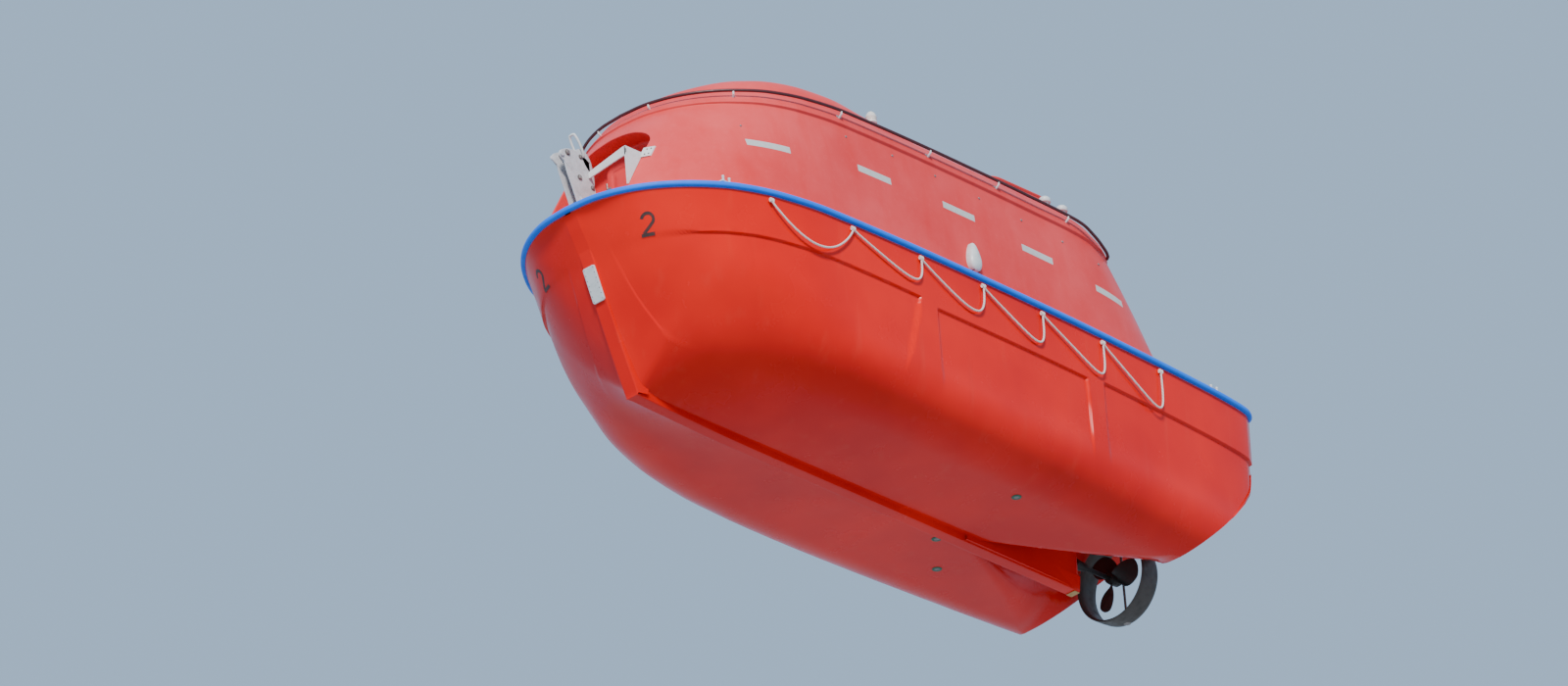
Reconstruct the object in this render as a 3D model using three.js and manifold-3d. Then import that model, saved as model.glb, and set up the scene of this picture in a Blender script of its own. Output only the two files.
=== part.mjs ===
// A totally enclosed lifeboat with a steering nozzle, as an assembly of named parts.
// Millimetres. +X is port, +Y is aft, +Z is up; the origin is amidships on the laden waterline.
import * as THREE from "three";
import { mergeVertices } from "three/addons/utils/BufferGeometryUtils.js";
import Module from "manifold-3d";

const wasm = await Module();
wasm.setup();

// Driving dimensions
const GAP = 0.5; // between pieces that touch
const GUNWALE_Z = 800;
const BOW_Y = -3400;
const STERN_Y = 3360;
const HALF_BEAM = 1255;
const TRANSOM_CROWN = 12; // how far the gunwale's line swells aft across the transom
const HULL_WALL = 75;
const KEEL_HALF = 52;
const DECK_TOP = 860;
const ROOF_EDGE_Z = 1900;
const ROOF_TOP_Z = 2090;
const CANOPY_WALL = 45;
const RAIL_Z = 1910;
const RAIL_R = 13;
const RAIL_OUT = 60; // from the canopy's side to the rail
const HAIR = 1.0006; // the canopy's width is stretched so much to leave the gap beside it
const LIP = { z: [1796, 1804, 1850, 1900, 1930], out: [0, 14, 20, 12, 0] }; // the bead round the roof's edge

const THIN = 0.08; // an edge or a triangle's height below this is welded away
const WELD_PASSES = 6;
const NOZZLE = { y: 2720, z: -440, outer: 350, wall: 16, half: 100, stockY: 2785, stockR: 20 };
const PROP = { y: 2665, r: 272, hub: 48, shaftZ: -430 };
const FORE_HOOK = { y: -3225, aft: 1 }; // the post's middle, and which way is amidships
const AFT_HOOK = { y: 2990, aft: -1 };
const LINK = { u: -15, z: 1452, half: 37, long: 98, r: 10, lean: 29 };
// Roof fittings: where each stands, and its radius and height from there, from the foot up
const FITTINGS = {
  roof_light: { x: 760, y: -640, z: 2050, r: [60, 60, 30, 30, 46, 46, 40, 26, 0], h: [-40, 22, 30, 180, 190, 240, 268, 284, 290] },
  roof_vent_fore: { x: 900, y: 1200, z: 2030, r: [30, 30, 48, 48, 34, 0], h: [-60, 60, 68, 98, 118, 124] },
  roof_vent_aft: { x: 890, y: 1410, z: 2025, r: [30, 30, 48, 48, 34, 0], h: [-60, 60, 68, 98, 118, 124] },
};
// The grab line: its lugs, and for each bight between two of them how deep it hangs and how far aft its low is
const LUGS = [-2375, -1550, -785, -65, 635, 1370, 2090];
const LUG = { half: 14, out: 22, low: 768, high: 784 };
const BIGHTS = { drop: [270, 210, 250, 270, 290, 340], late: [1.1, 2.7, 2.4, 3, 3.3, 3.3] };
const LINE = { z: 756, out: 22, r: 8, points: 12 };

// Gunwale half-breadth along the boat, from the blunt bow to the transom
const GUNWALE = {
  y: [-3400, -3385, -3345, -3260, -3120, -2920, -2640, -2280, -1800, -1000, 0, 900, 1700, 2500, 3000, 3250, 3360],
  x: [0, 200, 360, 545, 735, 915, 1082, 1190, 1245, 1255, 1242, 1216, 1178, 1130, 1086, 1044, 982],
};
// Hull sections: the rabbet's depth, the chine corner that the section rounds, and how far it rounds each way
const SECTION = {
  y: [-3400, -3200, -3050, -2900, -2760, -2500, -2200, -1900, -1500, -1000, 0, 1200, 2400, 3360],
  rabbet: [800, 420, 20, -320, -540, -575, -590, -600, -608, -616, -628, -640, -650, -655],
  chineX: [0, 0.72, 0.74, 0.78, 0.82, 0.89, 0.93, 0.955, 0.975, 0.985, 0.985, 0.98, 0.965, 0.95],
  chineZ: [800, 560, 380, 240, 130, -60, -250, -390, -500, -560, -596, -610, -622, -630],
  side: [0.6, 0.6, 0.58, 0.55, 0.52, 0.48, 0.44, 0.4, 0.36, 0.33, 0.31, 0.31, 0.31, 0.31],
  floor: [0.6, 0.6, 0.6, 0.58, 0.56, 0.52, 0.5, 0.46, 0.42, 0.38, 0.36, 0.36, 0.34, 0.34],
};
// Stem and keel line, the outer face of the proud bar
const STEM = {
  z: [-590, -300, 0, 300, 500, 650, 760],
  y: [-2830, -2945, -3058, -3166, -3238, -3300, -3358],
};
const KEEL = { y: [-2830, -1700, 0, 1200, 2180], z: [-600, -650, -675, -695, -712] };
// The bars on them: half-width at the face, how much wider and deeper they are at the back, and their steps
const STEM_BAR = { half: 64, flare: 8, deep: 110, lift: 12, top: 740, low: -550, foot: 120, step: 70 };
const KEEL_BAR = { flare: 18, deep: 130, from: -2800, to: 2180, step: 166 };
// The skeg: half-width at the keel and higher up
const SKEG = { y: [850, 1400, 1800, 2100, 2200], low: [70, 70, 64, 52, 40], high: [90, 100, 96, 78, 60] };
const SKEG_KNEE_Z = -200;
const SKEG_TOP_Z = 10;

const COLOURS = {
  hull_red: 0xc8260e,
  canopy_red: 0xd8705f,
  fender_blue: 0x1e66d0,
  steel_grey: 0xb9b9bd,
  bracket_white: 0xd7d9d8,
  rail_maroon: 0x4a1218,
  rope_white: 0xd9d2c8,
  nozzle_brown: 0x3a332c,
  bronze_dark: 0x1d1b1b,
  glass: 0x33414a,
  plate_white: 0xd4d4d0,
  engine_grey: 0x6d7274,
};
const MATERIALS = Object.fromEntries(
  Object.entries(COLOURS).map(([name, color]) => [
    name,
    new THREE.MeshStandardMaterial({ name, color, roughness: 0.5 }),
  ]),
);

// Curves through a table, monotone between its rows so that nothing overshoots
function curve(xs, ys) {
  const n = xs.length;
  const d = [];
  for (let i = 0; i < n - 1; i++) d.push((ys[i + 1] - ys[i]) / (xs[i + 1] - xs[i]));
  const m = ys.map((_, i) => {
    if (i === 0) return d[0];
    if (i === n - 1) return d[n - 2];
    if (d[i - 1] * d[i] <= 0) return 0;
    const before = 2 * (xs[i + 1] - xs[i]) + xs[i] - xs[i - 1];
    const after = xs[i + 1] - xs[i] + 2 * (xs[i] - xs[i - 1]);
    return (before + after) / (before / d[i - 1] + after / d[i]);
  });
  return (x) => {
    let i = 0;
    while (i < n - 2 && x > xs[i + 1]) i++;
    const h = xs[i + 1] - xs[i];
    const t = Math.min(1, Math.max(0, (x - xs[i]) / h));
    const t2 = t * t;
    const t3 = t2 * t;
    return (
      ys[i] * (2 * t3 - 3 * t2 + 1) + m[i] * h * (t3 - 2 * t2 + t) +
      ys[i + 1] * (3 * t2 - 2 * t3) + m[i + 1] * h * (t3 - t2)
    );
  };
}

const gunwale = curve(GUNWALE.y, GUNWALE.x);
const section = Object.fromEntries(
  Object.entries(SECTION).filter(([k]) => k !== "y").map(([k, v]) => [k, curve(SECTION.y, v)]),
);
const keelZ = curve(KEEL.y, KEEL.z);
const stemY = curve(STEM.z, STEM.y);

// Solids
function solidOf(geometry) {
  const bare = new THREE.BufferGeometry().setAttribute(
    "position",
    (geometry.index ? geometry.toNonIndexed() : geometry).getAttribute("position"),
  );
  const merged = mergeVertices(bare, 1e-3);
  const made = new wasm.Manifold(
    new wasm.Mesh({
      numProp: 3,
      vertProperties: merged.attributes.position.array,
      triVerts: new Uint32Array(merged.index.array),
    }),
  );
  return made;
}

function geometryOf(solid) {
  const m = solid.getMesh();
  const v = new Float32Array(m.numVert * 3);
  for (let i = 0; i < m.numVert; i++) {
    v.set(m.vertProperties.subarray(i * m.numProp, i * m.numProp + 3), i * 3);
  }
  const g = new THREE.BufferGeometry();
  g.setAttribute("position", new THREE.BufferAttribute(v, 3));
  g.setIndex(new THREE.BufferAttribute(m.triVerts, 1));
  g.computeVertexNormals();
  return g;
}

// Where faces cross at a small angle they leave needle-thin triangles. Short edges are drawn together
// and the long edge of a needle is turned, so that no face is thinner than THIN.
function welded(geometry) {
  const points = [];
  const p = geometry.getAttribute("position");
  for (let i = 0; i < p.count; i++) points.push(new THREE.Vector3().fromBufferAttribute(p, i));
  let faces = [];
  const index = geometry.index.array;
  for (let i = 0; i < index.length; i += 3) faces.push([index[i], index[i + 1], index[i + 2]]);
  const gap = (a, b) => points[a].distanceTo(points[b]);
  const height = (f) => {
    const base = Math.max(...f.map((v, i) => gap(v, f[(i + 1) % 3])));
    return (2 * new THREE.Triangle(...f.map((v) => points[v])).getArea()) / base;
  };
  for (let pass = 0; pass < WELD_PASSES; pass++) {
    const owners = new Map();
    faces.forEach((f, k) => f.forEach((v, i) => owners.set(v + "_" + f[(i + 1) % 3], k)));
    const around = new Map(points.map((_, v) => [v, new Set()]));
    for (const f of faces) for (const v of f) f.forEach((u) => u !== v && around.get(v).add(u));
    const touched = new Set();
    const dead = new Set();
    const near = (list) => list.some((v) => touched.has(v) || [...around.get(v)].some((u) => touched.has(u)));
    faces.forEach((f, k) => {
      if (dead.has(k)) return;
      const lengths = f.map((v, i) => gap(v, f[(i + 1) % 3]));
      const least = lengths.indexOf(Math.min(...lengths));
      const most = lengths.indexOf(Math.max(...lengths));
      const [a, b] = [f[least], f[(least + 1) % 3]];
      const shared = [...around.get(a)].filter((v) => around.get(b).has(v));
      if (lengths[least] < THIN && shared.length === 2 && !near([a, b])) {
        faces.forEach((h) => h.includes(b) && h.forEach((v, i) => v === b && (h[i] = a)));
        faces.forEach((h, m) => new Set(h).size < 3 && dead.add(m));
        [a, b, ...shared].forEach((v) => touched.add(v));
        return;
      }
      if (lengths[least] < THIN || height(f) > THIN) return;
      const [u, v, tip] = [f[most], f[(most + 1) % 3], f[(most + 2) % 3]];
      const other = owners.get(v + "_" + u);
      if (near([u, v, tip]) || other === undefined || dead.has(other)) return;
      const far = faces[other].find((w) => w !== u && w !== v);
      if (around.get(tip).has(far) || near([far])) return;
      const [one, two] = [[u, far, tip], [far, v, tip]];
      if (Math.min(height(one), height(two)) <= Math.min(height(f), height(faces[other]))) return;
      faces[k] = one;
      faces[other] = two;
      [u, v, tip, far].forEach((w) => touched.add(w));
    });
    faces = faces.filter((_, k) => !dead.has(k));
  }
  const g = new THREE.BufferGeometry().setAttribute("position", p.clone());
  g.setIndex(faces.flat());
  return g.toNonIndexed();
}

const join = (list) => list.reduce((a, b) => a.add(b));
const cut = (solid, list) => list.reduce((a, b) => a.subtract(b), solid);

function box(x0, x1, y0, y1, z0, z1) {
  const g = new THREE.BoxGeometry(x1 - x0, y1 - y0, z1 - z0);
  g.translate((x0 + x1) / 2, (y0 + y1) / 2, (z0 + z1) / 2);
  return solidOf(g);
}

// A cylinder between two points
function rod(a, b, r, sides = 16, r2 = r) {
  const p = new THREE.Vector3(...a);
  const q = new THREE.Vector3(...b);
  const dir = q.clone().sub(p);
  const g = new THREE.CylinderGeometry(r2, r, dir.length(), sides);
  g.applyQuaternion(
    new THREE.Quaternion().setFromUnitVectors(new THREE.Vector3(0, 1, 0), dir.clone().normalize()),
  );
  g.translate(...p.add(q).multiplyScalar(0.5).toArray());
  return solidOf(g);
}

// Flat outline [[u, v], ...] thickened along an axis: "x" takes u=y, v=z; "y" takes u=x, v=z; "z" takes u=x, v=y
function slab(points, axis, from, to, holes = []) {
  const shape = new THREE.Shape(points.map(([u, v]) => new THREE.Vector2(u, v)));
  for (const h of holes) shape.holes.push(new THREE.Path(h.map(([u, v]) => new THREE.Vector2(u, v))));
  const g = new THREE.ExtrudeGeometry(shape, { depth: to - from, bevelEnabled: false, steps: 1 });
  g.translate(0, 0, from);
  const p = g.getAttribute("position");
  for (let i = 0; i < p.count; i++) {
    const [u, v, w] = [p.getX(i), p.getY(i), p.getZ(i)];
    if (axis === "x") p.setXYZ(i, w, u, v);
    if (axis === "y") p.setXYZ(i, u, w, v);
  }
  const bare = new THREE.BufferGeometry().setAttribute("position", p);
  if (axis === "y") flip(bare);
  return solidOf(bare);
}

function circle(r, sides) {
  const turn = Array.from({ length: sides }, (_, i) => (2 * Math.PI * i) / sides);
  return new THREE.Shape(turn.map((a) => new THREE.Vector2(r * Math.cos(a), r * Math.sin(a))));
}

function flip(g) {
  const p = g.getAttribute("position");
  for (let i = 0; i < p.count; i += 3) {
    const b = [p.getX(i + 1), p.getY(i + 1), p.getZ(i + 1)];
    p.setXYZ(i + 1, p.getX(i + 2), p.getY(i + 2), p.getZ(i + 2));
    p.setXYZ(i + 2, ...b);
  }
}

// A skin over rings of equal length, closed with a fan on each end ring; a ring of one point is an apex
function loft(rings, closedLoop = false) {
  const v = [];
  const tri = (a, b, c) => v.push(...a, ...b, ...c);
  const n = Math.max(...rings.map((r) => r.length));
  const at = (r, i) => (r.length === 1 ? r[0] : r[i % n]);
  const last = closedLoop ? rings.length : rings.length - 1;
  for (let k = 0; k < last; k++) {
    const a = rings[k];
    const b = rings[(k + 1) % rings.length];
    for (let i = 0; i < n; i++) {
      if (a.length > 1) tri(at(a, i), at(a, i + 1), at(b, i));
      if (b.length > 1) tri(at(a, i + 1), at(b, i + 1), at(b, i));
    }
  }
  if (!closedLoop) {
    for (const [ring, turn] of [[rings[0], true], [rings[rings.length - 1], false]]) {
      if (ring.length === 1) continue;
      const c = ring.reduce((s, p) => s.map((x, i) => x + p[i] / ring.length), [0, 0, 0]);
      for (let i = 0; i < n; i++) {
        if (turn) tri(c, at(ring, i + 1), at(ring, i));
        else tri(c, at(ring, i), at(ring, i + 1));
      }
    }
  }
  const g = new THREE.BufferGeometry();
  g.setAttribute("position", new THREE.BufferAttribute(new Float32Array(v), 3));
  const made = solidOf(g);
  if (made.volume() >= 0) return made;
  flip(g);
  return solidOf(g);
}

// Hull section at a station: port half from the gunwale to the rabbet, as [x, z]
function halfSection(y, inset = 0, count = 15) {
  const b = Math.max(0, gunwale(y) - inset);
  const g = [b, GUNWALE_Z];
  const q = [b * section.chineX(y), section.chineZ(y) + inset];
  const k = [Math.min(b, KEEL_HALF) * 0.8, section.rabbet(y) + inset];
  const mix = (p, r, t) => [p[0] + (r[0] - p[0]) * t, p[1] + (r[1] - p[1]) * t];
  const a = mix(q, g, section.side(y));
  const f = mix(q, k, section.floor(y));
  const out = [];
  for (let i = 0; i < 3; i++) out.push(mix(g, a, i / 3));
  const bend = count - 6;
  for (let i = 0; i <= bend; i++) {
    const t = i / bend;
    out.push(mix(mix(a, q, t), mix(q, f, t), t));
  }
  for (let i = 1; i <= 2; i++) out.push(mix(f, k, i / 2));
  return out;
}

function hullStations() {
  const out = [];
  for (const dy of [4, 15, 32, 56, 90, 135, 190, 255, 330, 415, 510, 620, 760]) out.push(BOW_Y + dy);
  for (let y = -2480; y < 3000; y += 195) out.push(y);
  out.push(3060, 3160, 3240, 3300, 3335, STERN_Y);
  return out;
}

function ringAt(y, inset) {
  const half = halfSection(y, inset);
  const port = half.map(([x, z]) => [x, y, z]);
  const star = half.map(([x, z]) => [-x, y, z]).reverse();
  return [...port, ...star];
}

function hullOuter() {
  const rings = [[[0, BOW_Y, GUNWALE_Z]], ...hullStations().map((y) => ringAt(y, 0))];
  return loft(rings);
}

// The stern's side view: upright transom, then a flat raked counter that ends on the bottom's knuckle
const STERN_PROFILE = [
  [STERN_Y, 1000], [STERN_Y, 330], [3335, 230], [3270, 120], [3160, -10],
  [2980, -190], [2470, -655], [2440, -900],
];

function sternTrim() {
  const keep = [[BOW_Y - 200, 1000], [BOW_Y - 200, -900], ...STERN_PROFILE.slice().reverse()];
  return slab(keep, "x", -1600, 1600);
}

// The propeller tunnel, an arch that opens towards the stern
const TUNNEL = {
  y: [950, 1250, 1600, 1950, 2250, 2470, 3500],
  flare: [60, 185, 345, 520, 700, 840, 900],
  radius: [40, 120, 230, 340, 410, 432, 440],
  centre: [-660, -600, -540, -480, -440, -425, -420],
};

function tunnelSolid() {
  const [flare, radius, centre] = ["flare", "radius", "centre"].map((k) => curve(TUNNEL.y, TUNNEL[k]));
  const rings = [];
  for (let y = 950; y <= 3500; y += 150) {
    const [w, r, c] = [flare(y), radius(y), centre(y)];
    const ring = [[w + 30, y, -800], [w, y, -656]];
    for (let i = 0; i <= 16; i++) {
      const a = (Math.PI * (i * 9.5 + 14)) / 180;
      ring.push([r * Math.cos(a), y, c + r * Math.sin(a)]);
    }
    ring.push([-w, y, -656], [-w - 30, y, -800]);
    rings.push(ring);
  }
  return loft(rings);
}

// Stem bar and keel bar, swept as quads down the centreline
function keelBar() {
  const { half, flare, deep, lift, top, low, foot, step } = STEM_BAR;
  const rings = [];
  const add = (y, z, back) => {
    const wide = half + flare;
    rings.push([[-half, y, z], [half, y, z], [wide, y + back, z + lift], [-wide, y + back, z + lift]]);
  };
  for (let z = top; z > low; z -= step) add(stemY(z), z, deep);
  add(KEEL.y[0], KEEL.z[0], foot);
  const bar = KEEL_BAR;
  const bars = [];
  for (let y = bar.from; y <= bar.to; y += bar.step) {
    const z = keelZ(y);
    const w = KEEL_HALF + bar.flare;
    bars.push([[-KEEL_HALF, y, z], [KEEL_HALF, y, z], [w, y, z + bar.deep], [-w, y, z + bar.deep]]);
  }
  return [loft(rings), loft(bars)];
}

// The skeg fills the middle of the tunnel down to the keel and carries the shaft
function skegSolid() {
  const rings = SKEG.y.map((y, i) => {
    const [low, high, z] = [SKEG.low[i], SKEG.high[i], keelZ(Math.min(y, KEEL_BAR.to))];
    const neck = high * 0.9;
    return [
      [-low, y, z], [low, y, z], [high, y, SKEG_KNEE_Z], [neck, y, SKEG_TOP_Z], [-neck, y, SKEG_TOP_Z],
      [-high, y, SKEG_KNEE_Z],
    ];
  });
  return loft(rings);
}

// A small block under the fender that the grab line is made fast to
function lug(y, s) {
  const x = [s * (gunwale(y) - LUG.half), s * (gunwale(y) + LUG.out)].sort((a, b) => a - b);
  return box(...x, y - LUG.half, y + LUG.half, LUG.low, LUG.high);
}

function hull() {
  const [stem, bar] = keelBar();
  const body = cut(hullOuter().intersect(sternTrim()), [tunnelSolid()]);
  const rings = [];
  for (let y = BOW_Y + 150; y <= 3230; y += 225) rings.push(ringAt(y, HULL_WALL));
  const room = loft(rings).intersect(
    join([box(-1300, 1300, -3300, 1000, -560, 900), box(-1300, 1300, 900, 3220, 150, 900)]),
  );
  const bore = rod([0, 1000, PROP.shaftZ], [0, 2400, PROP.shaftZ], 30, 20);
  const stockBore = rod([0, NOZZLE.stockY, -200], [0, NOZZLE.stockY, 200], NOZZLE.stockR + 6, 20);
  const lugs = LUGS.flatMap((y) => [1, -1].map((s) => lug(y, s)));
  return cut(join([body, skegSolid(), stem, bar, ...lugs]), [room, bore, stockBore]);
}

// Plan outline of the boat at an offset from the gunwale line, as a closed loop of [x, y]
function planLoop(offset) {
  const port = [BOW_Y, ...hullStations()].map((y) => [gunwale(y), y]);
  const corner = gunwale(STERN_Y);
  for (const x of [900, 780, 500, 180]) port.push([x, STERN_Y + TRANSOM_CROWN * (1 - (x / corner) ** 2)]);
  const star = port.slice(1).reverse().map(([x, y]) => [-x, y]);
  const loop = [...port, ...star];
  const n = loop.length;
  return loop.map(([x, y], i) => {
    const [ax, ay] = loop[(i + n - 1) % n];
    const [bx, by] = loop[(i + 1) % n];
    const len = Math.hypot(bx - ax, by - ay);
    return [x + ((by - ay) / len) * offset, y - ((bx - ax) / len) * offset];
  });
}

// The fender's D-shaped section, as distance out from the gunwale and height from its own middle
const FENDER = {
  z: 835,
  out: [0, 24, 34, 34, 24, 0, -30, -30],
  up: [-24, -20, -8, 8, 20, 24, 24, -24],
};

function fender() {
  const rings = FENDER.out.map((out, i) =>
    planLoop(out + GAP).map(([x, y]) => [x, y, FENDER.z + FENDER.up[i]]),
  );
  const swept = loft(rings, true);
  const core = slab(planLoop(GAP), "z", 400, 1300);
  return swept.subtract(core);
}

// Canopy plan at a height: front and aft ends, and half-width
const CANOPY = {
  z: [DECK_TOP, 1100, 1400, 1700, ROOF_EDGE_Z, 1960, 2010, 2050, ROOF_TOP_Z],
  front: [-3322, -3190, -3010, -2810, -2650, -2610, -2510, -2310, -1300],
  aft: [2710, 2560, 2370, 2160, 2010, 1975, 1900, 1700, 1250],
  half: [1195, 1176, 1150, 1118, 1092, 1068, 990, 820, 250],
};
const canopyAt = Object.fromEntries(["front", "aft", "half"].map((k) => [k, curve(CANOPY.z, CANOPY[k])]));

// The roof swells upwards in its fore half: by how much along the boat, and between which heights that grows
const HUMP = {
  y: [-2700, -2450, -2150, -1800, -1400, -1000, -500],
  up: [0, 45, 95, 110, 100, 50, 0],
  grows: [1930, 2015],
};
const SHOULDER_Y = 900; // the canopy's plan follows the gunwale's before here, and rounds off after it
const AFT_TAPER = 0.05;
const FORE_STEPS = [0, 8, 30, 65, 115, 180, 260, 355, 470, 610, 780, 1000, 1300, 1700, 2300, 3000, 3700, 4300];

const lip = curve(LIP.z, LIP.out);
const humpUp = curve(HUMP.y, HUMP.up);
const hump = (y, z) => humpUp(y) * THREE.MathUtils.smoothstep(z, ...HUMP.grows);

function canopyRing(z, inset, zAt = z) {
  const front = canopyAt.front(z) + inset;
  const aft = canopyAt.aft(z) - inset;
  const w = canopyAt.half(z) - inset;
  const ring = [];
  for (const dy of FORE_STEPS) {
    const y = front + (dy * (SHOULDER_Y - front)) / (SHOULDER_Y - BOW_Y);
    ring.push([(w * gunwale(BOW_Y + dy)) / HALF_BEAM, y, zAt]);
  }
  const ws = (w * gunwale(SHOULDER_Y)) / HALF_BEAM;
  for (let i = 2; i <= 11; i++) {
    const a = (Math.PI / 2) * (i / 11);
    const y = SHOULDER_Y + (aft - SHOULDER_Y) * Math.sin(a) ** 0.62;
    const taper = 1 - AFT_TAPER * ((y - SHOULDER_Y) / (STERN_Y - SHOULDER_Y));
    ring.push([ws * taper * Math.cos(a) ** 0.42, y, zAt]);
  }
  const star = ring.slice(1, -1).reverse().map(([x, y, zz]) => [-x, y, zz]);
  ring[0][0] = 0;
  ring[ring.length - 1][0] = 0;
  return [...ring, ...star].map(([x, y, height]) => [x, y, height + hump(y, z)]);
}

const CANOPY_LEVELS = [
  DECK_TOP, 980, 1100, 1250, 1400, 1550, 1700, 1796, 1804, 1850, ROOF_EDGE_Z, 1930, 1965, 1990, 2015, 2038, 2058,
  2075, ROOF_TOP_Z,
];

function canopyBlock(inset, bottom) {
  const outside = inset === 0;
  const levels = CANOPY_LEVELS.filter((z) => outside || (z < ROOF_TOP_Z && z !== LIP.z[1]));
  const lowered = (z) => z - inset * Math.min(1, Math.max(0, (z - 1700) / 200));
  const rings = levels.map((z) => canopyRing(z, outside ? -lip(z) : inset, lowered(z)));
  rings[0] = rings[0].map(([x, y]) => [x, y, bottom]);
  return loft(rings);
}

// The recess round the fore hook: an arched box cut into the canopy's front
const RECESS = { half: 440, back: -2650, top: 1640, floor: DECK_TOP };
function recess(grow, front = -3700) {
  const w = RECESS.half + grow;
  const top = RECESS.top + grow;
  const pts = [[-w, RECESS.floor - 200], [w, RECESS.floor - 200]];
  for (let i = 0; i <= 8; i++) {
    const a = (Math.PI * i) / 8;
    pts.push([w * Math.cos(a), top - 220 + 220 * Math.sin(a)]);
  }
  return slab(pts, "y", front, RECESS.back + grow);
}

// The cupola: its middle, half-sizes and top; then its section from the foot up: height outside and inside,
// how far the side stands out from the half-sizes, and the corner's radius
const CUPOLA = { y: 1480, half: 430, long: 400, top: 2600, wall: 32, windowZ: 2390, windowTall: 75 };
const CUPOLA_SIDE = {
  z: [1960, 2200, 2480, 2555, 2590, 2600],
  inside: [1900, 2200, 2480, 2525, 2558, 2568],
  out: [30, 12, 0, -25, -70, -130],
  round: [150, 150, 150, 150, 140, 120],
};
const LID = { half: 262, long: 240, aft: 20, round: 70 };
// The fore hatch at the recess's back: its middle's height, half-sizes, and how far its frame stands proud
const FORE_HATCH = { z: 1252.5, half: 200, tall: 267.5, frame: 18 };
// The aft hatch lies on the sloping face: its middle, half-sizes, the face's lean from upright and the frame
const AFT_HATCH = { y: 2350, z: 1430, half: 300, tall: 330, lean: Math.atan2(700, 1040), frame: 22 };
const SEAT = 25; // how much a hatchway is smaller than its hatch, all round
// The space for legs between the two decks, inside the gunwale
const WELL = { y: [-2700, -2400, -2000, -1500, 0, 1200, 2000, 2600, 3000], in: 150, fore: -2650, aft: 2560, low: 700 };

function onAftFace(solid) {
  const g = geometryOf(solid);
  g.rotateX(AFT_HATCH.lean);
  g.translate(0, AFT_HATCH.y, AFT_HATCH.z);
  return solidOf(g);
}

function roundRect(w, h, r, n = 4) {
  const pts = [];
  for (const [cx, cy, a0] of [[w - r, h - r, 0], [r - w, h - r, 90], [r - w, r - h, 180], [w - r, r - h, 270]]) {
    for (let i = 0; i <= n; i++) {
      const a = ((a0 + (90 * i) / n) * Math.PI) / 180;
      pts.push([cx + r * Math.cos(a), cy + r * Math.sin(a)]);
    }
  }
  return pts;
}

const moved = (pts, dx, dy) => pts.map(([x, y]) => [x + dx, y + dy]);

function canopy() {
  const outer = canopyBlock(0, GUNWALE_Z + 2);
  const flange = slab(planLoop(-2), "z", GUNWALE_Z + GAP, DECK_TOP);
  const keepOut = join([
    recess(CANOPY_WALL),
    box(-700, 700, -3600, RECESS.back + CANOPY_WALL, WELL.low, DECK_TOP),
  ]);
  const room = cut(canopyBlock(CANOPY_WALL, WELL.low), [keepOut]);
  const wellTop = DECK_TOP + 5;
  const well = loft(
    WELL.y.map((y) => {
      const w = gunwale(y) - WELL.in;
      return [[w, y, WELL.low], [w, y, wellTop], [-w, y, wellTop], [-w, y, WELL.low]];
    }),
  ).intersect(box(-HALF_BEAM, HALF_BEAM, WELL.fore, WELL.aft, WELL.low, wellTop));
  const { half, tall, frame } = AFT_HATCH;
  const coaming = onAftFace(slab(roundRect(half + 35, tall + 35, 90), "y", -70, frame));
  const fore = (grow, round) => moved(roundRect(FORE_HATCH.half + grow, FORE_HATCH.tall + grow, round), 0, FORE_HATCH.z);
  const { back } = RECESS;
  const frontFrame = slab(fore(30, 80), "y", back - FORE_HATCH.frame, back + 30);
  const holes = [
    onAftFace(slab(roundRect(half - SEAT, tall - SEAT, 60), "y", -200, 60)),
    slab(fore(-SEAT, 60), "y", back - 60, back + 120),
    slab(moved(roundRect(CUPOLA.half - 90, CUPOLA.long - 90, 80), 0, CUPOLA.y), "z", 1850, 2300),
  ];
  const shell = join([cut(join([outer, flange]), [room, well, recess(0)]), coaming, frontFrame]);
  return cut(shell, holes);
}

function cupola() {
  const { y, half, long, top, wall, windowZ, windowTall } = CUPOLA;
  const ring = (z, i, thick, sharper) => {
    const out = CUPOLA_SIDE.out[i] - thick;
    return moved(roundRect(half + out, long + out, CUPOLA_SIDE.round[i] - sharper), 0, y).map((p) => [...p, z]);
  };
  const outer = loft(CUPOLA_SIDE.z.map((z, i) => ring(z, i, 0, 0)));
  const inner = loft(CUPOLA_SIDE.inside.map((z, i) => ring(z, i, wall, 20)));
  const openings = [
    slab(moved(roundRect(250, windowTall, 30), 0, windowZ), "y", y - 700, y + 700),
    slab(moved(roundRect(230, windowTall, 30), y, windowZ), "x", -700, 700),
    slab(moved(roundRect(LID.half - 32, LID.long - 30, 60), 0, y + LID.aft), "z", windowZ, top + 100),
  ];
  return cut(outer, [inner, ...openings, canopySeat(1, 1)]);
}

// Glazing: one clear band that stands inside the cupola's wall
function glazing() {
  const { y, half, long, wall, windowZ, windowTall } = CUPOLA;
  const ring = (inside) => moved(roundRect(half - inside, long - inside, 118), 0, y);
  return slab(ring(wall + 5), "z", windowZ - windowTall - 13, windowZ + windowTall - 9, [ring(wall + 11)]);
}

function cupolaLid() {
  const { top } = CUPOLA;
  const y = CUPOLA.y + LID.aft;
  const hingeY = y + LID.half;
  return join([
    slab(moved(roundRect(LID.half, LID.long, LID.round), 0, y), "z", top + 3, top + 28),
    slab(moved(roundRect(LID.half - 40, LID.long - 38, LID.round - 18), 0, y), "z", top - 12, top + 4),
    rod([-110, hingeY, top + 22], [110, hingeY, top + 22], 11, 14),
    box(-90, 90, y + 180, hingeY, top + 12, top + 27),
  ]);
}

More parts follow.
